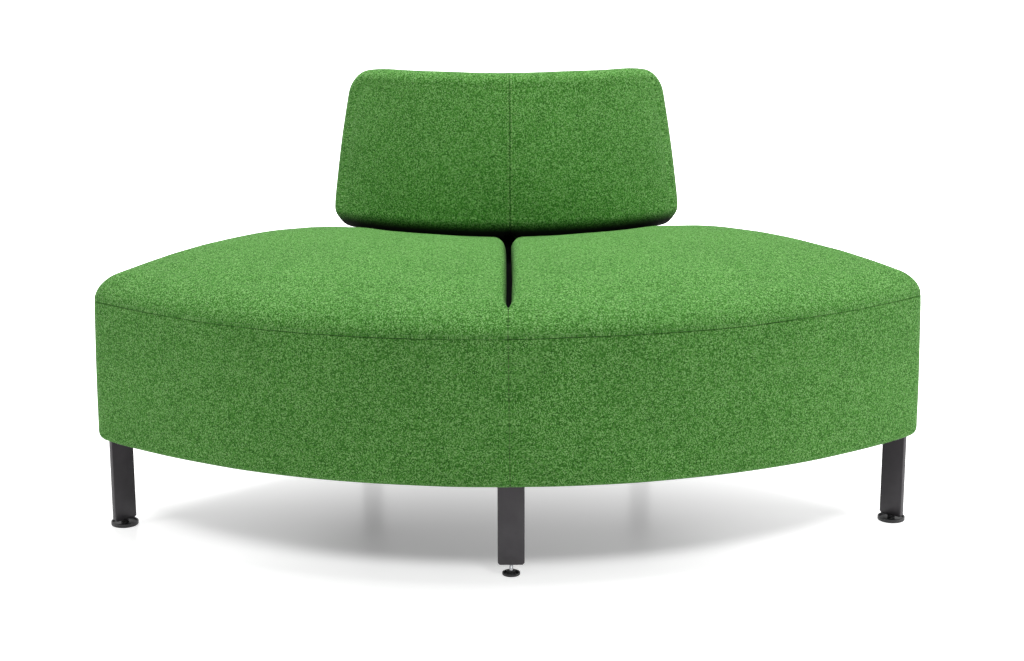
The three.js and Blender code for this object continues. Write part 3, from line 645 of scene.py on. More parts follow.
def side_path(inset):
    """From the middle of the front round the outer corner and along the side to the inner corner's end."""
    outer = outer_corner(inset, even(2 * CORNER))
    radius = OUTER_RADIUS - inset
    full = angle_of(outer_corner(0, [0])[0])
    shares = [s / (full * OUTER_RADIUS) for s in seam_steps(full * OUTER_RADIUS)]
    start = asin(HALF_GAP / radius)
    front = [polar(radius, mix(start, angle_of(outer[0]), share)) for share in shares[:-1]]
    easing = [1 - (1 - t)**1.8 for t in even(3 * CORNER)]
    inner = inner_corner(inset, easing)
    side = [mix(outer[-1], inner[0], i / 30) for i in range(1, 30)]
    return front + outer + side + inner


def rear_path(inset):
    """Along the rear arc, from the right inner corner to the left one."""
    radius = INNER_RADIUS + inset
    end = angle_of(inner_corner(inset, [1])[0]) - 2 * HALF_GAP / radius
    reach = end * INNER_RADIUS
    shares = [s / reach for s in seam_steps(reach)]
    half = [1 - share for share in shares]
    return [polar(radius, end * share) for share in half + [-share for share in half[-2::-1]]]


def swept(name, path, outside, inside, dip_width=0.0022, dip=0.0008):
    """A band that follows a plan path. Its section is two rows of (inset, height), outside and inside. It is
    drawn in at both ends, where it is sewn to the next panel."""
    rows = [[path(inset) for inset, _ in row] for row in (outside, inside)]
    count = len(rows[0][0])
    reference = rows[0][len(outside) // 2]
    run = np.concatenate([[0], np.cumsum([np.linalg.norm(b - a) for a, b in zip(reference, reference[1:])])])
    from_end = np.minimum(run, run[-1] - run)
    pull = dip * np.exp(-(from_end / dip_width)**2)
    points, threads = [], []
    for row, section in zip(rows, (outside, inside)):
        climb = 0
        for k, (inset, height) in enumerate(section):
            if k:
                climb += sqrt((inset - section[k - 1][0])**2 + (height - section[k - 1][1])**2)
            deeper = path(inset + dip)
            for s in range(count):
                plan = mix(row[k][s], deeper[s], pull[s] / dip)
                points.append((plan[0], plan[1] + ARC_Y, height))
                threads.append((run[s], climb))
    size = len(outside)

    def at(side, k, s):
        return (side * size + k) * count + s
    faces = []
    for s in range(count - 1):
        for k in range(size - 1):
            faces.append([at(0, k, s), at(0, k, s + 1), at(0, k + 1, s + 1), at(0, k + 1, s)])
            faces.append([at(1, k, s), at(1, k + 1, s), at(1, k + 1, s + 1), at(1, k, s + 1)])
        for k in (0, size - 1):
            faces.append([at(0, k, s), at(1, k, s), at(1, k, s + 1), at(0, k, s + 1)])
    for s in (0, count - 1):
        for k in range(size - 1):
            faces.append([at(0, k, s), at(0, k + 1, s), at(1, k + 1, s), at(1, k, s)])
    return piece(name, points, faces, threads)


def swollen(row):
    """The section pushed outward by the foam behind it, more toward the hem. Its first point stays."""
    drops = [max((SKIRT_TOP - height) / (SKIRT_TOP - UNDERSIDE), 0) for _, height in row]
    swell = [SKIRT_BULGE * sin(pi / 2 * min(drop, 1)**0.7) for drop in drops]
    return row[:1] + [(inset - out, height) for (inset, height), out in zip(row[1:], swell[1:])]


def band(start, low_round, high_round, high_end, face, low, high, steps):
    """A section that starts under the box, turns up its face and turns in again at the top."""
    row = [start]
    centre = face + max(low_round, 0.0002)
    for share in even(5):
        angle = -pi / 2 - share * pi / 2
        row.append((centre + low_round * cos(angle), low + low_round + low_round * sin(angle)))
    top = high - high_round
    for share in even(steps)[1:-1]:
        row.append((face, mix(low + low_round, top, share)))
    centre = face + high_round
    for share in even(4):
        angle = pi - share * pi / 2
        row.append((centre + high_round * cos(angle), top + high_round * sin(angle)))
    row.append((high_end, high))
    return row


def make_skirt():
    hem = UNDERSIDE - HEM_DROP
    outside = band((HEM_END, UNDERSIDE), HEM_ROUND, TOP_ROUND, ALLOWANCE_END, 0, hem, SKIRT_TOP, 16)
    inside = band((HEM_END, UNDERSIDE + CLOTH), HEM_ROUND - CLOTH, TOP_ROUND - CLOTH, ALLOWANCE_END, CLOTH,
                  hem + CLOTH, SKIRT_TOP - CLOTH, 16)
    outside, inside = swollen(outside), swollen(inside)
    low, high = UNDERSIDE + CLOTH + FOAM_GAP, SKIRT_TOP - CLOTH - FOAM_GAP
    foam_end = FOAM_BACK - 0.003
    foam_out = swollen(band((foam_end, low), FOAM_ROUND, FOAM_ROUND / 2, foam_end, FOAM_FACE, low, high, 8))
    foam_in = [(FOAM_BACK, height) for height in np.linspace(low, high, len(foam_out))]
    covers, foams = [], []
    for made, section, kind in ((covers, (outside, inside), "skirt_panel"), (foams, (foam_out, foam_in), "foam_wrap")):
        right = swept(kind + "_right", side_path, *section)
        made += [right, mirrored(right, kind + "_left"), swept(kind + "_rear", rear_path, *section)]
    for made, node, name in ((covers, "skirt_cover", "cover_fabric"), (foams, "skirt_foam", "foam")):
        for thing, side in zip(made, ("right", "left", "rear")):
            if node == "skirt_cover":
                settle(thing, *SKIRT_SWELL, len(side))
            stand_in(thing, f"{node}_{side}", name)
    return covers


# Backrest on its cone: the way along the arc, the way up the lean, the depth behind the front

BACK_BOTTOM = SEAM + EDGE_RISE + crown_share(BACK_FRONT_RADIUS) * (CROWN_RISE + HALF_CROWN_RISE) + BACK_SEAT_GAP
BACK_MEAN_RADIUS = BACK_FRONT_RADIUS - BACK_HEIGHT / 2 * sin(BACK_LEAN)


def on_cone(across, up, depth):
    radius = BACK_FRONT_RADIUS - up * sin(BACK_LEAN) - depth * cos(BACK_LEAN)
    x, y = polar(radius, across / BACK_MEAN_RADIUS)
    return (x, y + ARC_Y, BACK_BOTTOM + up * cos(BACK_LEAN) - depth * sin(BACK_LEAN))


def toward_middle(t):
    """Spreads -1 to 1 so that places lie closer together at 0."""
    return 0.35 * t + 0.65 * t**3


def back_ring(inset):
    low, high = [max(corner - inset, LEAST_CORNER) for corner in (BACK_LOW_CORNER, BACK_TOP_CORNER)]
    side = BACK_HALF_WIDTH - inset
    centres = [(side - low, inset + low, low, -pi / 2), (side - high, BACK_HEIGHT - inset - high, high, 0),
               (high - side, BACK_HEIGHT - inset - high, high, pi / 2), (low - side, inset + low, low, pi)]
    corners = [arc_points(np.array([x, up]), radius, start, start + pi / 2, even(2 * CORNER))
               for x, up, radius, start in centres]
    ring = []
    for i, points in enumerate(corners):
        upright = i % 2 == 0
        steps = (BACK_UP if upright else BACK_ACROSS) - 2 * CORNER
        following = corners[(i + 1) % 4][0]
        ring += points
        for k in range(1, steps):
            share = k / steps if upright else (toward_middle(2 * k / steps - 1) + 1) / 2
            ring.append(mix(points[-1], following, share))
    for point in ring:
        shoulder = (abs(point[0]) / BACK_HALF_WIDTH - SHOULDER_START) / (1 - SHOULDER_START)
        rise = BACK_TOP_RISE - SHOULDER_DROP * min(max(shoulder, 0), 1)**2
        point[0] *= 1 + BACK_SIDE_BULGE * (1 - (2 * point[1] / BACK_HEIGHT - 1)**2) / BACK_HALF_WIDTH
        point[1] *= 1 + rise / BACK_HEIGHT
    start = len(ring) - BACK_ACROSS + CORNER
    return ring[start:] + ring[:start]


def bulge_share(point, edge):
    across = point[0] / (BACK_HALF_WIDTH - edge)
    up = 2 * (point[1] - edge) / (BACK_HEIGHT - 2 * edge) - 1
    return (1 - min(across**2, 1)) * (1 - min(up**2, 1))


def back_body(name, parting, face, edge, low_edge, bulge, outward):
    """From the parting seam to a rounded face. Outward is -1 at the front and 1 at the rear."""
    turns = [share * pi / 2 for share in even(EDGE_STEPS)]
    sides = [(0, PARTING_DIP), (0.05, PARTING_DIP / 3)]
    if abs(face - outward * edge - parting) > edge:
        sides += [(0.2, 0), (0.45, 0), (0.72, 0)]

    def rounding(point, turn):
        deep = mix(low_edge, edge, smoothstep(point[1], 0, BACK_LOW_REACH))
        return face - outward * deep * (1 - sin(turn))
    plans = [back_ring(inset) for _, inset in sides] + [back_ring(edge * (1 - cos(turn))) for turn in turns]
    rings = [[on_cone(*point, mix(parting, rounding(point, 0), share)) for point in plan]
             for plan, (share, _) in zip(plans, sides)]
    rings += [[on_cone(*point, rounding(point, turn)) for point in plan]
              for plan, turn in zip(plans[len(sides):], turns)]
    return lofted(name, rings, plans, BACK_ACROSS, BACK_UP, lambda plan: on_cone(*plan, parting),
                  lambda plan: on_cone(*plan, face + outward * bulge * bulge_share(plan, edge)))


def back_place(places):
    """The way along the arc, the way up and the depth of points in the frame."""
    across = np.arctan2(places[:, 0], ARC_Y - places[:, 1]) * BACK_MEAN_RADIUS
    away = BACK_FRONT_RADIUS - np.hypot(places[:, 0], places[:, 1] - ARC_Y)
    rise = places[:, 2] - BACK_BOTTOM
    return across, rise * cos(BACK_LEAN) + away * sin(BACK_LEAN), away * cos(BACK_LEAN) - rise * sin(BACK_LEAN)


def rest_on_seat(thing, halves):
    """The backrest's lower edge sags until it touches the seat, where the seat is near enough."""
    trees = [tree_of(half) for half in halves]
    places = coordinates(thing.data)
    _, up, _ = back_place(places)
    for k in np.nonzero(up < 3 * REST_SAG)[0]:
        above = Vector(places[k]) + Vector((0, 0, 0.05))
        hits = [tree.ray_cast(above, Vector((0, 0, -1)), 0.2)[0] for tree in trees]
        gaps = [places[k][2] - hit.z for hit in hits if hit]
        if gaps:
            drop = min(max(min(gaps) - REST_GAP, 0), REST_SAG)
            places[k][2] -= drop * (1 - smoothstep(up[k], 0.2 * REST_SAG, 3 * REST_SAG))
    set_coordinates(thing.data, places)


def make_back(halves):
    front = back_body("back_cushion", BACK_PARTING, 0, BACK_EDGE, BACK_LOW_EDGE, BACK_BULGE, -1)
    rear = back_body("back_rear_panel", BACK_PARTING + PARTING_GAP, BACK_THICKNESS, BACK_REAR_EDGE,
                     BACK_REAR_EDGE, BACK_REAR_BULGE, 1)
    for thing, cap in ((front, BACK_CAP), (rear, BACK_REAR_CAP)):
        places = coordinates(thing.data)
        ring_size = 2 * (BACK_ACROSS + BACK_UP)
        inner_face = (BACK_ACROSS - 1) * (BACK_UP - 1)
        sewn = set(range(2 * ring_size)) | set(range(len(places) - inner_face, len(places)))
        if thing is front:
            sewn |= set(np.nonzero(np.abs(back_place(places)[0]) < 0.0005)[0].tolist())
        inflate(thing, sorted(sewn), cap)
    for thing, seed in ((front, 5), (rear, 6)):
        settle(thing, *BACK_SWELL, seed)
        subdivided(thing)
        rest_on_seat(thing, halves)
    score_middle(front)
    paint_fold_shade(front)
    stand_in(front, "backrest_cushion", "cover_fabric")
    stand_in(rear, "backrest_rear_panel", "cover_fabric")
    return front, rear


def score_middle(front):
    """The middle seam: a narrow sewn line with a low welt on both sides, and extra edges to hold it."""
    def cuts(work):
        for x in (*[-place for place in SEAM_CUTS[::-1]], *SEAM_CUTS):
            geometry = work.verts[:] + work.edges[:] + work.faces[:]
            bmesh.ops.bisect_plane(work, geom=geometry, dist=1e-6, plane_co=(x, 0, 0), plane_no=(1, 0, 0))
    edit(front.data, cuts)
    places = coordinates(front.data)
    along = normals(front.data)
    _, _, depth = back_place(places)
    shown = np.clip((BACK_PARTING - depth) / 0.01, 0, 1) * (1 - 0.85 * np.clip(along[:, 2], 0, 1))
    x = places[:, 0]
    drawn_in = SEAM_DEEP * np.exp(-(x / SEAM_WIDE)**2)
    drawn_in -= WELT_RISE * np.exp(-((np.abs(x) - WELT_PLACE) / WELT_WIDE)**2)
    set_coordinates(front.data, places - along * (drawn_in * shown)[:, None])
    front.data.shade_smooth()


def paint_fold_shade(front):
    """Marks painted shade on the cover: near black where it turns under along the lower edge, and in the middle seam's
    crease.
    """
    places = coordinates(front.data)
    _, up, _ = back_place(places)
    painted_shade = 1 - smoothstep(up, FOLD_LOW, FOLD_HIGH)
    crease = CREASE_PAINTED_SHADE * (1 - smoothstep(np.abs(places[:, 0]), CREASE_START, CREASE_END))
    mark_painted_shade(front, np.maximum(painted_shade, crease))


# The middle seams beside the middle plane

def seat_aside(places):
    forward = np.clip((ARC_Y - places[:, 1] - ASIDE_START) / (OUTER_RADIUS - ASIDE_START), 0, 1)
    height = np.clip((places[:, 2] - UNDERSIDE) / (SEAM - UNDERSIDE), 0, 1)
    return mix(SEAT_ASIDE_REAR, SEAT_ASIDE_FRONT, forward**2) * mix(ASIDE_AT_HEM, 1, height)


def draw_aside(thing, shift):
    """Moves what lies near the middle plane to one side, less and less further out."""
    places = coordinates(thing.data)
    places[:, 0] += shift * np.exp(-(places[:, 0] / ASIDE_REACH)**2)
    set_coordinates(thing.data, places)


def lift_seam(thing):
    """The seam between seat and skirt runs a little higher toward the right, as in the photograph."""
    places = coordinates(thing.data)
    rise = sum(gain * smoothstep(places[:, 0], start, end) for start, end, gain in SEAM_RISES)
    places[:, 2] += rise * np.exp(-((places[:, 2] - SEAM) / SEAM_RISE_REACH)**2)
    set_coordinates(thing.data, places)


def set_beside_middle(seat_covers, back_covers, back_rear):
    for thing in seat_covers:
        draw_aside(thing, seat_aside(coordinates(thing.data)))
    for thing in back_covers:
        draw_aside(thing, BACK_ASIDE)
    centre = Matrix.Translation((0, ARC_Y, 0))
    for thing in back_covers + [back_rear]:
        thing.data.transform(centre @ Matrix.Rotation(BACK_TURN, 4, "Z") @ centre.inverted())


# Threads

def capsule(length, radius, sides=6):
    """Points and faces of one stitch that lies along X."""
    stations = [(-0.5, 0.15), (-0.42, 0.7), (-0.22, 1), (0.22, 1), (0.42, 0.7), (0.5, 0.15)]
    points = [(x * length, radius * r * cos(tau * k / sides), radius * r * sin(tau * k / sides))
              for x, r in stations for k in range(sides)]
    faces = [[s * sides + k, s * sides + (k + 1) % sides, (s + 1) * sides + (k + 1) % sides, (s + 1) * sides + k]
             for s in range(len(stations) - 1) for k in range(sides)]
    faces += [list(range(sides)), [len(points) - 1 - k for k in range(sides)]]
    return np.array(points), faces


def stitches(name, places, length, radius, finish="thread"):
    """Stitches at (point, direction along the row, outward normal), each half sunk in the cover."""
    shape, faces = capsule(length, radius)
    points, all_faces = [], []
    for place, along, out in places:
        along = np.array(along) / np.linalg.norm(along)
        out = np.array(out) - along * np.dot(out, along)
        out /= np.linalg.norm(out)
        turn = np.stack([along, np.cross(out, along), out])
        all_faces += [[len(points) + k for k in face] for face in faces]
        points += list(shape @ turn + np.array(place) + out * radius * 0.35)
    made = piece(name, points, all_faces, [(p[0], p[1]) for p in points])
    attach(made, "frame")
    dress(made, finish)
    return made


def tree_of(thing):
    return BVHTree.FromPolygons([v.co for v in thing.data.vertices], [p.vertices for p in thing.data.polygons])


def resample(line, pitch):
    """Points every pitch along a polyline, with the direction there."""
    line = np.array(line)
    steps = np.linalg.norm(np.diff(line, axis=0), axis=1)
    run = np.concatenate([[0], np.cumsum(steps)])
    found = []
    for place in np.arange(pitch / 2, run[-1], pitch):
        k = min(int(np.searchsorted(run, place)) - 1, len(steps) - 1)
        found.append((mix(line[k], line[k + 1], (place - run[k]) / steps[k]), line[k + 1] - line[k]))
    return found


def make_seat_stitches(halves):
    rows = []
    for half, side in zip(halves, (1, -1)):
        tree = tree_of(half)
        ring = cushion_ring(0, 0)
        last = 2 * ACROSS + ALONG - CORNER
        line = [(side * p[0], p[1] + ARC_Y, SEAM + SEAM_STAND + SEAT_STITCH_UP) for p in ring[:last]]
        for place, along in resample(line, SEAT_STITCH_PITCH):
            point, out, _, _ = tree.find_nearest(Vector(place))
            rows.append((point, along, out))
    return stitches("seat_topstitch", rows, SEAT_STITCH_PITCH * 0.62, SEAT_THREAD_RADIUS, "shade_painted_thread")


def make_back_stitches(front):
    """Two rows, up the front and over the top edge."""
    tree = tree_of(front)
    top, forward = BACK_HEIGHT + BACK_TOP_RISE, Vector((0, -cos(BACK_LEAN), sin(BACK_LEAN)))
    over = [(top - BACK_EDGE * (1 - sin(a)), BACK_EDGE * (1 - cos(a))) for a in np.linspace(STITCH_TURN, pi / 2, 8)]
    over.append((top, BACK_PARTING - 0.004))
    rows = []
    for side in (-1, 1):
        across = side * BACK_STITCH_ASIDE
        straight = [on_cone(across, up, 0) for up in (FOLD_HIGH / 2, over[0][0])]
        for place, along in resample(straight, BACK_STITCH_PITCH):
            point, out, _, _ = tree.ray_cast(Vector(place) + forward * BACK_EDGE, -forward)
            rows.append((point, along, out))
        for place, along in resample([on_cone(across, *point) for point in over], BACK_STITCH_PITCH):
            point, out, _, _ = tree.find_nearest(Vector(place))
            rows.append((point, along, out))
    return stitches("back_topstitch", rows, BACK_STITCH_PITCH * 0.6, THREAD_RADIUS)


def make_slit_tack(halves):
    """The bar of thread that closes the slit's end."""
    tree = tree_of(halves[0])
    y = -(OUTER_RADIUS - SLIT_TIP_SETBACK - 0.002)
    rows = []
    for k in range(3):
        place = Vector((0.0008, y + ARC_Y - 0.0009 * k, seat_top((0, y))))
        point, _, _, _ = tree.find_nearest(place)
        rows.append(((0, place.y, point.z + 0.0002), (1, 0, 0), (0, -0.2, 1)))
    return stitches("slit_tack", rows, 0.0036, SEAT_THREAD_RADIUS, "shade_painted_thread")


# Legs, feet and fasteners

def stand_in(made, node, finish, body="frame"):
    """Puts a piece in the place of a CAD node."""
    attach(made, body)
    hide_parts(node)
    dress(made, finish)


def rounded_copy(node, name, width):
    """A copy of a CAD node with its outer edges rounded over."""
    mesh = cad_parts[node].data.copy()
    mesh.name = name
    mesh.materials.clear()

    def change(work):
        bmesh.ops.remove_doubles(work, verts=work.verts, dist=1e-6)
        bmesh.ops.dissolve_limit(work, angle_limit=radians(1), verts=work.verts, edges=work.edges)
        sharp = [e for e in work.edges if e.is_convex and len(e.link_faces) == 2
                 and e.calc_face_angle(0) > radians(30)]
        bmesh.ops.bevel(work, geom=sharp, offset=width, segments=3, profile=0.5, affect="EDGES")
        for face in work.faces:
            face.smooth = True
    edit(mesh, change)
    return sharpen(added(name, mesh), 32)


def sharpen(thing, degrees):
    def change(work):
        for edge in work.edges:
            edge.smooth = edge.calc_face_angle(0) < radians(degrees)
    edit(thing.data, change)
    return thing


def turned(name, profile, sides, place=(0, 0, 0), bumps=None):
    """A body turned about Z from (radius, height) points that start and end on the axis."""
    points, faces, rows = [], [], []
    for radius, height in profile:
        if radius < 1e-7:
            rows.append([len(points)] * sides)
            points.append((place[0], place[1], place[2] + height))
            continue
        rows.append(list(range(len(points), len(points) + sides)))
        for k in range(sides):
            angle = tau * k / sides
            reach = radius + (bumps(radius, height, angle) if bumps else 0)
            points.append((place[0] + reach * cos(angle), place[1] + reach * sin(angle), place[2] + height))
    for low, high in zip(rows, rows[1:]):
        for k in range(sides):
            after = (k + 1) % sides
            faces.append(list(dict.fromkeys([low[k], low[after], high[after], high[k]])))
    return sharpen(piece(name, points, faces), 40)


def stud(name, node):
    """A threaded rod with a chamfered top."""
    low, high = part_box(node)
    radius, centre = (high.x - low.x) / 2, (low + high) / 2
    sides, per_turn = 24, 6
    rows = int((high.z - low.z) / THREAD_PITCH * per_turn)
    points, faces = [], []
    for row in range(rows + 1):
        height = mix(low.z, high.z, row / rows)
        for k in range(sides):
            groove = THREAD_DEPTH * abs(2 * ((height / THREAD_PITCH - k / sides) % 1) - 1)
            reach = radius - groove - max(0, STUD_CHAMFER - (high.z - height))
            angle = tau * k / sides
            points.append((centre.x + reach * cos(angle), centre.y + reach * sin(angle), height))
    for row in range(rows):
        for k in range(sides):
            after = (k + 1) % sides
            faces.append([row * sides + k, row * sides + after, (row + 1) * sides + after, (row + 1) * sides + k])
    faces += [list(range(sides))[::-1], [rows * sides + k for k in range(sides)]]
    return piece(name, points, faces)


def pad(name, node, rim_top):
    """A moulded foot: a knurled rim, and a hollow ring round the hub."""
    low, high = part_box(node)
    radius, tall = (high.x - low.x) / 2, high.z - low.z
    ring_floor = rim_top * (1 - RING_DEPTH)
    profile = [(0, 0), (radius - RIM_FOOT, 0), (radius, RIM_FOOT), (radius, rim_top * 0.5)]
    profile += [(radius - inward, rim_top - down) for inward, down in RIM_PROFILE]
    profile += [(radius - RIM_WALL, ring_floor), (HUB_RADIUS + HUB_ROUND, ring_floor),
                (HUB_RADIUS, ring_floor + HUB_ROUND), (HUB_RADIUS, tall - HUB_EDGE), (HUB_RADIUS - HUB_EDGE, tall),
                (SOCKET_RADIUS + SOCKET_EDGE, tall), (SOCKET_RADIUS, tall - SOCKET_EDGE),
                (SOCKET_RADIUS, tall - SOCKET_DEPTH), (0, tall - SOCKET_DEPTH)]

    def knurl(reach, height, angle):
        if reach < radius - 0.0001 or not KNURL_START < height < rim_top - RIM_FOOT:
            return 0
        return -KNURL_DEPTH * (0.5 + 0.5 * cos(angle * KNURLS))
    return turned(name, profile, 4 * KNURLS, ((low.x + high.x) / 2, (low.y + high.y) / 2, low.z), knurl)


def fastener(name, node, head_radius, head_height):
    """A pan-head screw with a round socket in its head, in the place of a CAD node."""
    places = coordinates(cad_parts[node].data)
    middle = places.mean(0)
    axis = np.linalg.svd(places - middle)[2][0]
    run = (places - middle) @ axis
    aside = np.linalg.norm(places - middle - np.outer(run, axis), axis=1)
    if run[aside > 0.9 * aside.max()].mean() > 0:
        axis, run = -axis, -run
    length, shank = run.max() - run.min(), head_radius / 2
    socket, side = head_height * 0.62, head_height * 0.55
    profile = [(0, socket), (head_radius * 0.42, socket), (head_radius * 0.46, 0.0001)]
    dome = [(head_radius * cos(a), side * (1 - sin(a))) for a in np.linspace(pi / 2 - 0.5, 0.15, 5)]
    profile += [(r, h) for r, h in dome if r > head_radius * 0.5]
    profile += [(head_radius, side), (head_radius, head_height - SCREW_EDGE), (head_radius - SCREW_EDGE, head_height),
                (shank, head_height), (shank, length - shank), (shank * 0.35, length), (0, length)]
    made = turned(name, profile, 24)
    rotation = Vector((0, 0, 1)).rotation_difference(Vector(axis)).to_matrix().to_4x4()
    made.data.transform(Matrix.Translation(Vector(middle + axis * run.min())) @ rotation)
    return made


def make_hard_pieces():
    for leg in LEGS:
        stand_in(rounded_copy(f"leg_{leg}", f"flat_leg_{leg}", BAR_ROUND), f"leg_{leg}", "leg_coating")
        rod = stud(f"threaded_stud_{leg}", f"foot_stud_{leg}")
        foot = pad(f"moulded_foot_{leg}", f"foot_pad_{leg}", FRONT_RIM if leg == "front" else REAR_RIM)
        stand_in(rod, f"foot_stud_{leg}", "zinc_steel", f"foot_{leg}")
        stand_in(foot, f"foot_pad_{leg}", "foot_plastic", f"foot_{leg}")
    for node in sorted(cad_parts):
        for start, head in FIXING_HEADS.items():
            if node.startswith(start):
                stand_in(fastener("fixing_" + node, node, *head), node, "zinc_steel")
    for side in ("left", "right"):
        stand_in(rounded_copy(f"bracket_{side}", f"flat_bracket_{side}", BAR_ROUND), f"bracket_{side}", "leg_coating")
    for node, width in (("seat_foam_right", 0.003), ("seat_foam_left", 0.003), ("backrest_wadding", 0.0011)):
        stand_in(rounded_copy(node, "filling_" + node, width), node, "foam")


# Materials

class Nodes:
    """The node tree of a material or world, with short calls to add and link nodes."""

    def __init__(self, owner, shader="BsdfPrincipled", output="OutputMaterial"):
        owner.use_nodes = True
        self.owner, self.tree = owner, owner.node_tree
        self.tree.nodes.clear()
        self.shader = self.add(shader)
        self.add(output, {"Surface": self.shader.outputs[0]})

    def add(self, kind, inputs=(), **settings):
        node = self.tree.nodes.new("ShaderNode" + kind)
        for key, value in settings.items():
            setattr(node, key, value)
        for key, value in dict(inputs).items():
            self.put(value, node.inputs[key])
        return node

    def put(self, value, target):
        if isinstance(value, bpy.types.NodeSocket):
            self.tree.links.new(value, target)
        elif target.type == "RGBA" and len(value) == 3:
            target.default_value = (*value, 1)
        else:
            target.default_value = value

    def set(self, **values):
        for key, value in values.items():
            self.put(value, self.shader.inputs[key.replace("_", " ")])

    def math(self, operation, *values):
        return self.add("Math", enumerate(values), operation=operation).outputs[0]

    def vector(self, operation, *values):
        return self.add("VectorMath", enumerate(values), operation=operation).outputs[0]

    def parts(self, vector):
        return self.add("SeparateXYZ", {0: vector}).outputs

    def noise(self, vector, scale, detail=2.0, rough=0.5):
        inputs = {"Vector": vector, "Scale": scale, "Detail": detail, "Roughness": rough}
        return self.add("TexNoise", inputs).outputs["Fac"]

    def random(self, u, v):
        pair = self.add("CombineXYZ", {0: u, 1: v}).outputs[0]
        return self.add("TexWhiteNoise", {"Vector": pair}, noise_dimensions="2D").outputs["Value"]

    def ramp(self, value, stops):
        node = self.add("ValToRGB", {0: value})
        elements = node.color_ramp.elements
        while len(elements) < len(stops):
            elements.new(0.5)
        for element, (place, color) in zip(elements, stops):
            element.position, element.color = place, (*color, 1)
        return node.outputs[0]

    def mix(self, share, a, b, blend_type="MIX"):
        return self.add("Mix", {0: share, 6: a, 7: b}, data_type="RGBA", blend_type=blend_type).outputs[2]

    def bump(self, height, distance, strength=1.0):
        bump = self.add("Bump", {"Height": height, "Distance": distance, "Strength": strength})
        self.set(Normal=bump.outputs[0])

    def object_place(self):
        return self.add("TexCoord").outputs["Object"]

    def seen(self):
        """1 for what the eye sees, also in a reflection."""
        path = self.add("LightPath").outputs
        return self.math("MAXIMUM", path["Is Camera Ray"], path["Is Glossy Ray"])


def material(name):
    return Nodes(bpy.data.materials.new(name))


def linear(*rgb):
    """Linear colour of an sRGB one written in 0 to 255."""
    return tuple((v / 255 / 12.92) if v <= 10 else ((v / 255 + 0.055) / 1.055)**2.4 for v in rgb)


def cover_fabric():
    """Coarse plain weave in a green melange: each yarn has its own shade, which changes along it."""
    n = material("cover_fabric")
    weave = n.add("Attribute", attribute_name="weave").outputs["Vector"]
    wander = n.vector("SUBTRACT", n.noise(weave, 160, 1.0).node.outputs["Color"], (0.5, 0.5, 0.5))
    place = n.vector("ADD", weave, n.vector("MULTIPLY", wander, (YARN_WANDER, YARN_WANDER, 0)))
    u, v, _ = n.parts(n.add("VectorMath", {0: place, "Scale": 1 / YARN_PITCH}, operation="SCALE").outputs[0])
    cell_u, cell_v = n.math("FLOOR", u), n.math("FLOOR", v)
    over = n.math("PINGPONG", n.math("ADD", cell_u, cell_v), 1.0)
    under = n.math("SUBTRACT", 1.0, over)
    round_u, round_v = [n.math("SINE", n.math("MULTIPLY", n.math("FRACT", way), pi)) for way in (u, v)]
    warp = n.math("MULTIPLY", n.math("POWER", round_u, 0.55), n.math("MULTIPLY_ADD", round_v, 0.6, 0.4))
    weft = n.math("MULTIPLY", n.math("POWER", round_v, 0.55), n.math("MULTIPLY_ADD", round_u, 0.6, 0.4))
    height = n.math("ADD", n.math("MULTIPLY", over, warp), n.math("MULTIPLY", under, weft))
    along_warp = n.random(cell_u, n.math("FLOOR", n.math("DIVIDE", v, 2.0)))
    along_weft = n.random(n.math("FLOOR", n.math("DIVIDE", u, 2.0)), n.math("ADD", cell_v, 57.0))
    own = n.math("ADD", n.math("MULTIPLY", over, along_warp), n.math("MULTIPLY", under, along_weft))
    slub = n.noise(weave, 470, 3, 0.65)
    shade = n.math("ADD", n.math("MULTIPLY", own, 0.55), n.math("MULTIPLY", slub, 0.45))
    cloud = n.ramp(n.noise(weave, 7, 3, 0.55), [(0.3, (0.90, 0.91, 0.90)), (0.7, (1.0, 1.0, 1.0))])
    # Painted shade in the hollows between the yarns, where the weave is low.
    gaps = n.ramp(height, [(0.0, (0.55, 0.55, 0.55)), (0.55, (1.0, 1.0, 1.0))])
    color = n.mix(1.0, n.ramp(shade, [(at, linear(*rgb)) for at, rgb in FABRIC_SHADES]), cloud, "MULTIPLY")
    # Painted shade: where points are marked, the cover's colour goes toward near black and its sheen fades.
    dark = n.add("Attribute", attribute_name="painted_shade").outputs["Fac"]
    n.set(Base_Color=n.mix(dark, n.mix(1.0, color, gaps, "MULTIPLY"), linear(8, 10, 6)), Roughness=0.92,
          Sheen_Weight=n.math("MULTIPLY_ADD", dark, -0.25, 0.25), Sheen_Roughness=0.45,
          Sheen_Tint=linear(190, 225, 175), Specular_IOR_Level=0.15)
    n.bump(n.math("MULTIPLY_ADD", n.noise(weave, 2200, 2, 0.6), 0.35, height), 0.0005, 0.8)
    return n.owner


def thread(name, dark, light):
    """Twisted sewing thread."""
    n = material(name)
    place = n.object_place()
    twist = n.add("TexWave", {"Vector": place, "Scale": 900}, wave_type="BANDS", bands_direction="DIAGONAL")
    n.set(Base_Color=n.mix(n.noise(place, 300), linear(*dark), linear(*light)), Roughness=0.7, Sheen_Weight=0.2)
    n.bump(twist.outputs["Fac"], 0.0001)
    return n.owner


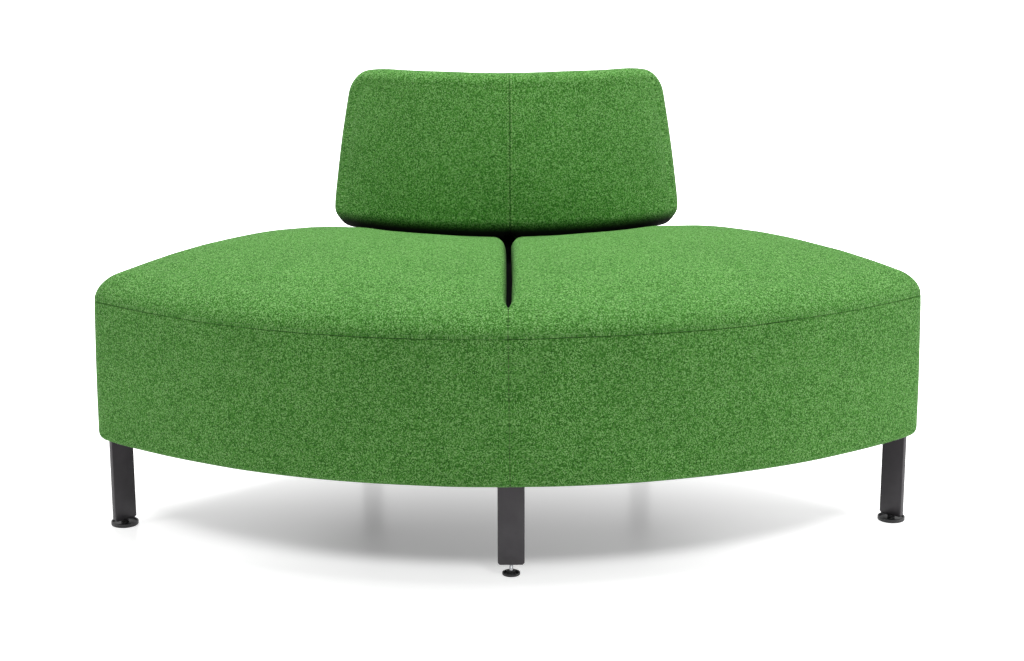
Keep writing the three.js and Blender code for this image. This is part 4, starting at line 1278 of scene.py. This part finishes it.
def leg_coating():
    """Satin powder coat with a fine orange-peel surface, and painted shade: darker up under the seat, unevenly paler
    toward the floor.
    """
    n = material("leg_coating")
    place = n.object_place()
    # Painted shade and light: the coat is darker high up under the seat and paler, unevenly, toward the floor.
    lower = n.math("SUBTRACT", 1.0, n.math("DIVIDE", n.parts(place)[2], UNDERSIDE))
    lower.node.use_clamp = True
    painted_low_light = n.math("MULTIPLY", lower, n.noise(place, 30, 3))
    n.set(Base_Color=n.mix(painted_low_light, linear(50, 46, 50), linear(88, 86, 89)), Metallic=0.35,
          Roughness=n.math("MULTIPLY_ADD", n.noise(place, 55, 3), 0.14, 0.36))
    n.bump(n.noise(place, 1400, 2), 0.00006, 0.5)
    return n.owner


def hard_finish(name, colors, scales, roughness, relief, metallic):
    """Uneven in shade, gloss and relief. Roughness is a gain and a base, relief a distance and a strength."""
    n = material(name)
    place = n.object_place()
    shade, gloss, grain = [n.noise(place, scale, detail) for scale, detail in zip(scales, (3, 2, 2))]
    n.set(Base_Color=n.mix(shade, *[linear(*color) for color in colors]), Metallic=metallic,
          Roughness=n.math("MULTIPLY_ADD", gloss, *roughness))
    n.bump(grain, *relief)
    return n.owner


def foam():
    """Open-cell foam."""
    n = material("foam")
    place = n.object_place()
    cells = n.add("TexVoronoi", {"Vector": place, "Scale": 900}, feature="SMOOTH_F1")
    n.set(Base_Color=n.mix(n.noise(place, 20, 3), linear(226, 216, 182), linear(240, 233, 205)), Roughness=0.95)
    n.bump(cells.outputs["Distance"], 0.0006)
    return n.owner


def dust_lining():
    """Black non-woven lining with its fused dot pattern."""
    n = material("dust_lining")
    inputs = {"Vector": n.object_place(), "Scale": 500, "Randomness": 0.15}
    dots = n.add("TexVoronoi", inputs, feature="F1").outputs["Distance"]
    n.set(Base_Color=n.mix(dots, linear(10, 10, 11), linear(24, 24, 25)), Roughness=0.95, Specular_IOR_Level=0.1)
    n.bump(dots, 0.0002, 0.6)
    return n.owner


def plywood():
    """Birch faces with long grain, and plies that show as bands in the edges."""
    n = material("plywood")
    place = n.object_place()
    grain = n.noise(n.vector("MULTIPLY", place, (6, 60, 60)), 1.6, 5, 0.6)
    face = n.ramp(grain, [(0.3, linear(176, 138, 92)), (0.7, linear(221, 190, 144))])
    bands = n.math("PINGPONG", n.math("DIVIDE", n.parts(place)[2], PLY), 1.0)
    edge = n.ramp(bands, [(0.35, linear(120, 84, 52)), (0.65, linear(205, 172, 126))])
    up = n.parts(n.add("NewGeometry").outputs["Normal"])[2]
    n.set(Base_Color=n.mix(n.math("LESS_THAN", n.math("ABSOLUTE", up), 0.5), face, edge),
          Roughness=n.math("MULTIPLY_ADD", grain, 0.2, 0.5))
    n.bump(grain, 0.0002, 0.6)
    return n.owner


MAKERS = {
    "cover_fabric": cover_fabric, "leg_coating": leg_coating, "foam": foam, "dust_lining": dust_lining,
    "plywood": plywood, "thread": partial(thread, "thread", (124, 178, 92), (172, 212, 134)),
    # A copy of the thread painted darker, as shade where the seat's stitches sink into the cover.
    "shade_painted_thread": partial(thread, "shade_painted_thread", (72, 132, 52), (112, 172, 84)),
    "zinc_steel": partial(hard_finish, "zinc_steel", ((176, 178, 182), (212, 213, 215)), (260, 420, 2500),
                          (0.15, 0.22), (0.00003, 0.4), 1.0),
    "foot_plastic": partial(hard_finish, "foot_plastic", ((22, 22, 23), (38, 38, 40)), (180, 700, 3000),
                            (0.2, 0.35), (0.00005, 0.5), 0.0)}
WOODEN = ("base_board", "deck_board", "front_rail", "rear_rail", "side_board", "centre_rib", "rib_", "backrest_shell")


@cache
def finish_of(name):
    return MAKERS[name]()


def dress(thing, name):
    thing.data.materials.clear()
    thing.data.materials.append(finish_of(name))


def dress_cad_nodes():
    """The hard pieces whose CAD shape is right keep it, with their own finishes."""
    for name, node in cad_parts.items():
        if name == "dust_cover" or name.startswith(WOODEN):
            finish = finish_of("dust_lining" if name == "dust_cover" else "plywood")
            if not node.material_slots:
                node.data.materials.append(finish)
            for slot in node.material_slots:
                slot.material = finish


# Studio

def make_camera():
    data = bpy.data.cameras.new("camera")
    data.sensor_width, data.lens, data.clip_end = 36, FOCAL_LENGTH, 50
    camera = added("camera", data)
    camera.location = (CAMERA_ASIDE, ARC_Y - CAMERA_DISTANCE, CAMERA_HEIGHT)
    facing = Matrix.Rotation(CAMERA_YAW, 4, "Z") @ Matrix.Rotation(pi / 2 - CAMERA_TILT, 4, "X")
    camera.rotation_euler = (facing @ Matrix.Rotation(CAMERA_ROLL, 4, "Z")).to_euler()
    bpy.context.scene.camera = camera


def make_lights():
    for name, (place, target, size, power) in LAMPS.items():
        data = bpy.data.lights.new(name, "AREA")
        data.shape, data.size, data.energy = "DISK", size, power
        lamp = added(name, data)
        lamp.location = place
        lamp.rotation_euler = (Vector(target) - Vector(place)).to_track_quat("-Z", "Y").to_euler()


def make_floor():
    bpy.ops.mesh.primitive_plane_add(size=24)
    floor_plane = bpy.context.object
    floor_plane.name = "studio_floor"
    n = material("studio_floor")
    place = n.object_place()
    x, y, _ = n.parts(place)
    around = n.add("VectorMath", {0: place}, operation="LENGTH").outputs["Value"]
    from_arcs = n.add("VectorMath", {0: place, 1: (0, ARC_Y, 0)}, operation="DISTANCE").outputs["Value"]
    # Painted light on the floor: a base glow, with gains that shape where its shadow is lighter.
    painted_floor_light = FLOOR_LIFT
    for value, (start, end, gain) in zip((around, around, x, y, from_arcs), FLOOR_PAINTED_LIGHT_GAINS):
        inputs = {"Value": value, "From Min": start, "From Max": end, "To Max": gain}
        rise = n.add("MapRange", inputs, interpolation_type="SMOOTHSTEP")
        painted_floor_light = n.math("ADD", rise.outputs["Result"], painted_floor_light)
    n.set(Base_Color=(0.88, 0.88, 0.88), Roughness=0.22, Specular_IOR_Level=0.35, Emission_Color=(1, 1, 1),
          Emission_Strength=n.math("MULTIPLY", n.seen(), painted_floor_light))
    floor_plane.data.materials.append(n.owner)


def make_world():
    """White to the eye and in reflections, a plain soft grey as light."""
    world = bpy.data.worlds.new("studio")
    bpy.context.scene.world = world
    n = Nodes(world, "Background", "OutputWorld")
    seen = n.math("MAXIMUM", n.seen(), n.add("LightPath").outputs["Is Transmission Ray"])
    n.set(Color=(1, 1, 1), Strength=n.math("MULTIPLY_ADD", seen, 1 - AMBIENT, AMBIENT))
    bpy.context.scene.view_settings.view_transform = "Standard"


make_camera()
seat_halves = make_seat()
skirt_covers = make_skirt()
back_front, back_rear = make_back(seat_halves)
slit_linings = [make_slit_lining(), make_slit_gusset(seat_halves, (back_front, back_rear))]
seat_stitches = make_seat_stitches(seat_halves)
seat_covers = [*seat_halves, *skirt_covers[:2], *slit_linings, seat_stitches, make_slit_tack(seat_halves)]
set_beside_middle(seat_covers, [back_front, make_back_stitches(back_front)], back_rear)
for cover in (*seat_halves, *skirt_covers, seat_stitches):
    lift_seam(cover)
make_hard_pieces()
dress_cad_nodes()
make_floor()
make_lights()
make_world()
